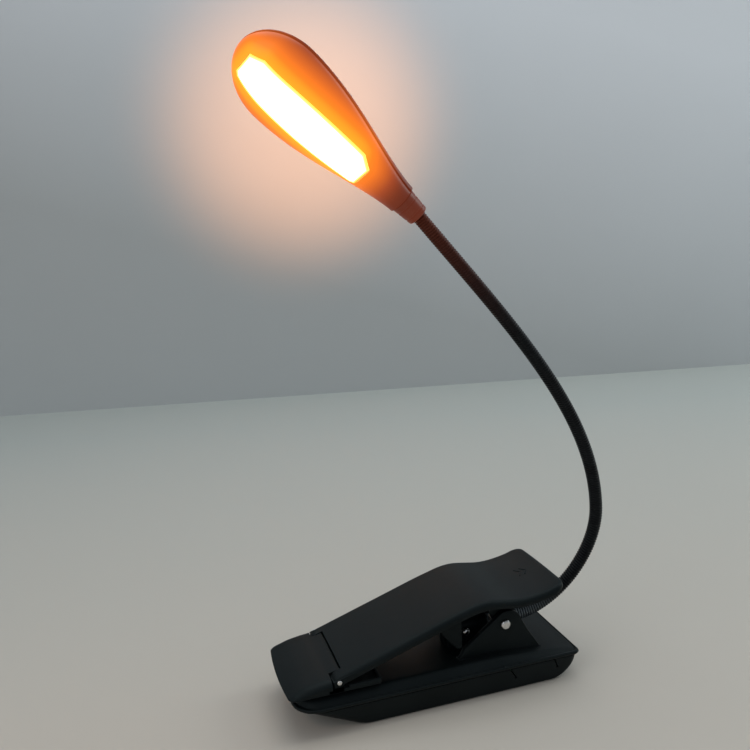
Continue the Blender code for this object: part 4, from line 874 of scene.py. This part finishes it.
def lens_side(count=60, grow=0.0):
    """The light strip's outline: bowed long sides, ends with cut corners, points all round."""
    sides = []
    for cut, depth in ((1.3, 0.9), (4.6, 2.5)):
        between = np.linspace(WINDOW_START + cut, WINDOW_END - cut, count)
        s = np.concatenate([[WINDOW_START], between, [WINDOW_END]])
        half = 7.2 - 1.5 * ((s - 41.0) / 25.4) ** 2
        half[[0, -1]] -= depth
        s[0], s[-1] = WINDOW_START - grow, WINDOW_END + grow
        sides.append(np.column_stack([s, half + grow]))
    return np.vstack([sides[0], (sides[1] * (1, -1))[::-1]])


def lens_depth(s, w):
    """Height of the front shell's outer surface over a place on the head."""
    across = w / np.maximum(head_width(s), 0.1)
    return SEAM + head_depth(s, FRONT_DEPTH) * np.sqrt(np.clip(1 - across ** 2, 0.02, 1))


def at_depth(flat, sunk):
    """An outline on the head laid a little under the front shell's outer surface."""
    return on_head(np.column_stack([flat, lens_depth(flat[:, 0], flat[:, 1]) - sunk]))


window = lens_side(grow=0.2)
prism = skin([on_head(np.column_stack([window, np.full(len(window), z)])) for z in (2.0, 20.0)], ends="flat")
front = carved(half_shell(FRONT_DEPTH, 1, 0.45), [prism])


def glow_values(made):
    """Gives a head piece its distance from the light's edge and its place along the head, in mm."""
    local = (points_of(made) - HEAD_AT) @ HEAD_TURN
    outline = lens_side(30)
    start = np.column_stack([outline, lens_depth(outline[:, 0], outline[:, 1])])
    along = np.roll(start, -1, 0) - start
    part = ((local[:, None] - start) * along).sum(-1) / np.maximum((along ** 2).sum(-1), 1e-9)
    nearest = start + np.clip(part, 0, 1)[..., None] * along
    away = np.linalg.norm(local[:, None] - nearest, axis=2).min(1)
    give_values(made, from_light=away, along=local[:, 0])


def lit_plastic(name, strength, dim):
    """Dark plastic with a painted amber glow for 17 mm round the light; dim is the painted glow's colour
    beyond.
    """
    made, tree, surface = new_material(name)
    grain = put(tree, "ShaderNodeGroup", {"Depth": 0.000012}, node_tree=GRAIN)
    tone = grain.outputs["Tone"]
    near_light = shade(tree, attribute(tree, "from_light"), 1.0, 0.0, 0.0, 17.0, "SMOOTHSTEP")
    towards_tip = shade(tree, attribute(tree, "along"), 0.0, 1.0, -9.0, 25.0, "SMOOTHSTEP")
    glow = ramp(tree, product(tree, near_light, towards_tip),
                [(0.0, dim), (0.25, (0.30, 0.050, 0.012)), (0.58, (0.62, 0.120, 0.012)),
                 (0.85, (0.90, 0.195, 0.010)), (1.0, (1.0, 0.34, 0.014))])
    base = ramp(tree, tone, [(0.3, (0.020, 0.007, 0.004)), (0.7, (0.028, 0.010, 0.006))])
    feed(surface, {"Base Color": base,
                   "Emission Color": glow,
                   "Emission Strength": strength,
                   "Roughness": shade(tree, tone, 0.30, 0.40),
                   "Normal": grain.outputs["Normal"],
                   "Specular IOR Level": 0.28})
    made.cycles.emission_sampling = "NONE"
    return made


LIT_FRONT = lit_plastic("head_front_lit", 1.25, (0.105, 0.017, 0.006))
LIT_BACK = lit_plastic("head_back_lit", 0.85, (0.13, 0.022, 0.009))
glow_values(piece("head_front", [front], LIT_FRONT, "head", ["head_front_cover"]))
back = half_shell(4.8, -1, 0.0)
glow_values(piece("head_back", [back], LIT_BACK, "head", ["head_back_shell"]))

# ------------------------------------------------------------------ collar
# A slightly tapered plastic sleeve with two shallow grooves, moulded like the back shell, between
# the gooseneck and the head.
sleeve = [(-8.2, 0), (-8.2, 2.3), (-8.2, 3.5), (-8.05, 3.75), (-7.8, 3.85), (-6.6, 3.95), (-6.5, 3.75),
          (-6.1, 3.75), (-6.0, 4.0), (-3.0, 4.3), (-2.9, 4.12), (-2.5, 4.12), (-2.4, 4.35), (-0.5, 4.55),
          (-0.3, 4.4), (-0.3, 3.6), (4.8, 3.6), (4.8, 0)]
collar = turned(sleeve, HEAD_AT, AXIS, 64)
# The collar takes the back shell's painted glow.
glow_values(piece("collar", [collar], LIT_BACK, "head", ["head_collar"]))

# ------------------------------------------------------------------ light strip
# The diffuser sits flush in the window: blown out to warm white in the middle and yellow at its rim,
# with faint brighter places over the lights behind it.
outline = lens_side(grow=-0.02)
spine = np.column_stack([np.clip(outline[:, 0], 21.0, 61.0), np.zeros(len(outline))])
rings = [at_depth(spine, 1.2)]
for share, sunk in ((0.0, 1.2), (0.0, 0.35), (0.01, 0.2), (0.03, 0.12), (0.1, 0.1), (0.2, 0.1), (0.35, 0.1),
                    (0.5, 0.1), (0.7, 0.1), (0.85, 0.1), (1.0, 0.1)):
    rings.append(at_depth(outline * (1 - share) + spine * share, sunk))
AMBER, tree, surface = new_material("amber_light")
LIGHT_PITCH = 8.0
turn = product(tree, attribute(tree, "along"), 2 * math.pi / LIGHT_PITCH)
beat = put(tree, "ShaderNodeMath", {0: turn}, operation="COSINE").outputs[0]
frost = noise(tree, own_place(tree), 3200.0, 4.0)
off_rim = shade(tree, attribute(tree, "from_light"), 0.0, 1.0, 0.0, 1.8, "SMOOTHSTEP")
glow = ramp(tree, product(tree, shade(tree, beat, 0.93, 0.97), off_rim),
            [(0.0, (0.18, 0.080, 0.004)), (0.2, (0.36, 0.20, 0.02)), (0.55, (0.70, 0.56, 0.24)),
             (0.95, (0.97, 0.90, 0.68)), (1.0, (1.0, 0.93, 0.72))])
feed(surface, {"Base Color": (0.9, 0.72, 0.45, 1),
               "Emission Color": glow,
               "Emission Strength": 6.0,
               "Roughness": shade(tree, frost, 0.30, 0.45),
               "Normal": bumped(tree, frost, 0.3, 0.00001)})
glow_values(piece("light_strip", [skin(rings)], AMBER, "head", ["light_diffuser"]))

# ------------------------------------------------------------------ pieces inside
# The boards, cell, switch, lights and leads keep the part's own shapes; each gets its real finish.


def patterned(name, dark, light, scale, roughness):
    """A finish for a hidden piece: a fine two-tone pattern with a slight relief."""
    made, tree, surface = new_material(name)
    cells = put(tree, "ShaderNodeTexVoronoi", {"Vector": own_place(tree), "Scale": scale}, feature="F1",
                distance="MANHATTAN").outputs["Distance"]
    feed(surface, {"Base Color": ramp(tree, cells, [(0.2, dark), (0.6, light)]),
                   "Normal": bumped(tree, cells, 0.3, 0.00003),
                   "Roughness": roughness})
    return made


inside = {
    "board": patterned("solder_mask", (0.008, 0.075, 0.030), (0.020, 0.150, 0.060), 700.0, 0.40),
    "cell": patterned("cell_wrap", (0.05, 0.12, 0.30), (0.10, 0.20, 0.42), 150.0, 0.38),
    "switch": patterned("switch_shell", (0.020, 0.020, 0.022), (0.060, 0.060, 0.064), 900.0, 0.45),
    "led_": patterned("phosphor", (0.85, 0.62, 0.18), (0.95, 0.80, 0.36), 2500.0, 0.50),
    "lead": patterned("lead_red", (0.18, 0.015, 0.010), (0.34, 0.035, 0.022), 1800.0, 0.48),
}
for name, node in frame["nodes"].items():
    if not node.hide_render:
        kind = next(k for k in inside if k in name)
        node.data.materials.clear()
        node.data.materials.append(inside[kind])

# ------------------------------------------------------------------ table, wall and lights
# An off-white table and a pale grey-blue wall, broad soft light from above and behind, a dim fill.


def stage_material(name, near, far, axis, low, high, roughness):
    """A pale matt surface whose tone drifts from near to far along an axis as painted light falloff, slightly
    uneven.
    """
    made, tree, surface = new_material(name)
    where = own_place(tree)
    run = put(tree, "ShaderNodeVectorMath", {0: where, 1: tuple(axis)}, operation="DOT_PRODUCT")
    share = shade(tree, run.outputs["Value"], 0.0, 1.0, low, high)
    painted_falloff_and_mottle = put(tree, "ShaderNodeMath", {0: noise(tree, where, 6.0, 6.0), 1: 0.12, 2: share},
                 operation="MULTIPLY_ADD")
    feed(surface, {"Base Color": ramp(tree, painted_falloff_and_mottle.outputs[0], [(0.06, near), (1.06, far)]),
                   "Roughness": roughness,
                   "Specular IOR Level": 0.25})
    return made


def flat_stage(name, corners, finish):
    """A flat four-cornered piece of the setting."""
    mesh = bpy.data.meshes.new(name)
    mesh.from_pydata([tuple(c) for c in corners], [], [(0, 1, 2, 3)])
    mesh.materials.append(finish)
    made = bpy.data.objects.new(name, mesh)
    bpy.context.scene.collection.objects.link(made)


YAW, PITCH_DOWN, TILT = math.radians(16.0), math.radians(10.7), math.radians(-4.0)
ahead = Vector((math.sin(YAW), math.cos(YAW), 0))
look = Vector((math.sin(YAW) * math.cos(PITCH_DOWN), math.cos(YAW) * math.cos(PITCH_DOWN),
               -math.sin(PITCH_DOWN)))
level = Vector((math.cos(YAW), -math.sin(YAW), 0))
upright = level.cross(look)
right = math.cos(TILT) * level + math.sin(TILT) * upright
above = -math.sin(TILT) * level + math.cos(TILT) * upright
eye = Vector((-0.1175, -0.2744, 0.1723))
foot_of_wall = eye + ahead * 0.83
foot_of_wall.z = 0
left_foot, right_foot, wall_height = foot_of_wall - level * 3, foot_of_wall + level * 3, Vector((0, 0, 3))
# Painted light falloff: the table is lighter and warmer near the front and darker further back, the wall
# darker lower down and to the left.
flat_stage("table", [(-3, -3, 0), (3, -3, 0), (3, 3, 0), (-3, 3, 0)],
           stage_material("table_white", (0.57, 0.515, 0.45), (0.46, 0.485, 0.46), ahead, -0.12, 0.45, 0.6))
flat_stage("wall", [left_foot, right_foot, right_foot + wall_height, left_foot + wall_height],
           stage_material("wall_grey", (0.50, 0.515, 0.515), (0.84, 0.87, 0.91),
                          level * 0.35 + Vector((0, 0, 1)), 0.08, 0.42, 0.85))


def lamp(data, at, way):
    """Sets a lamp in place, shining along a way."""
    made = bpy.data.objects.new(data.name, data)
    bpy.context.scene.collection.objects.link(made)
    made.location = at
    made.rotation_euler = way.to_track_quat("-Z", "Y").to_euler()


def area_light(name, at, towards, size, power, colour):
    """A soft square lamp that shines towards a place."""
    data = bpy.data.lights.new(name, "AREA")
    data.shape, data.size, data.energy, data.color = "SQUARE", size, power, colour
    lamp(data, at, Vector(towards) - Vector(at))


area_light("overhead", (0.1, 0.25, 1.1), (0, 0, 0.03), 1.0, 5.0, (0.93, 0.98, 1.0))
area_light("left", (-0.9, -0.5, 0.7), (-0.02, 0, 0.08), 0.7, 1.6, (0.98, 0.99, 1.0))
area_light("right", (1.3, 0.1, 0.8), (0.55, 0.6, 0.1), 0.7, 6.0, (0.92, 1.0, 0.98))
area_light("warm_pool", (-0.20, -0.12, 0.20), (-0.26, -0.16, 0.0), 0.05, 0.035, (1.0, 0.50, 0.20))

# The light's glow on the wall behind the head.
FOCAL, FRAME = 840, 750
halo = bpy.data.lights.new("halo", "SPOT")
halo.energy, halo.color, halo.shadow_soft_size = 4.2, (1.0, 0.42, 0.16), 0.03
halo.spot_size, halo.spot_blend = math.radians(52), 1.0
behind_head = (look * FOCAL - right * 77 + above * 245).normalized()
lamp(halo, eye + behind_head * 0.50, behind_head)
world = bpy.data.worlds.new("room")
bpy.context.scene.world = world
world.use_nodes = True
feed(world.node_tree.nodes["Background"], {"Color": (0.86, 0.93, 1.0, 1), "Strength": 0.38})
bpy.context.scene.view_settings.view_transform = "Standard"

camera = bpy.data.objects.new("camera", bpy.data.cameras.new("camera"))
bpy.context.scene.collection.objects.link(camera)
camera.data.sensor_width = 36
camera.data.lens = camera.data.sensor_width * FOCAL / FRAME
camera.data.clip_start = 0.01
turn = Matrix((right, above, -look)).transposed()
camera.matrix_world = Matrix.Translation(eye) @ turn.to_4x4()
bpy.context.scene.camera = camera
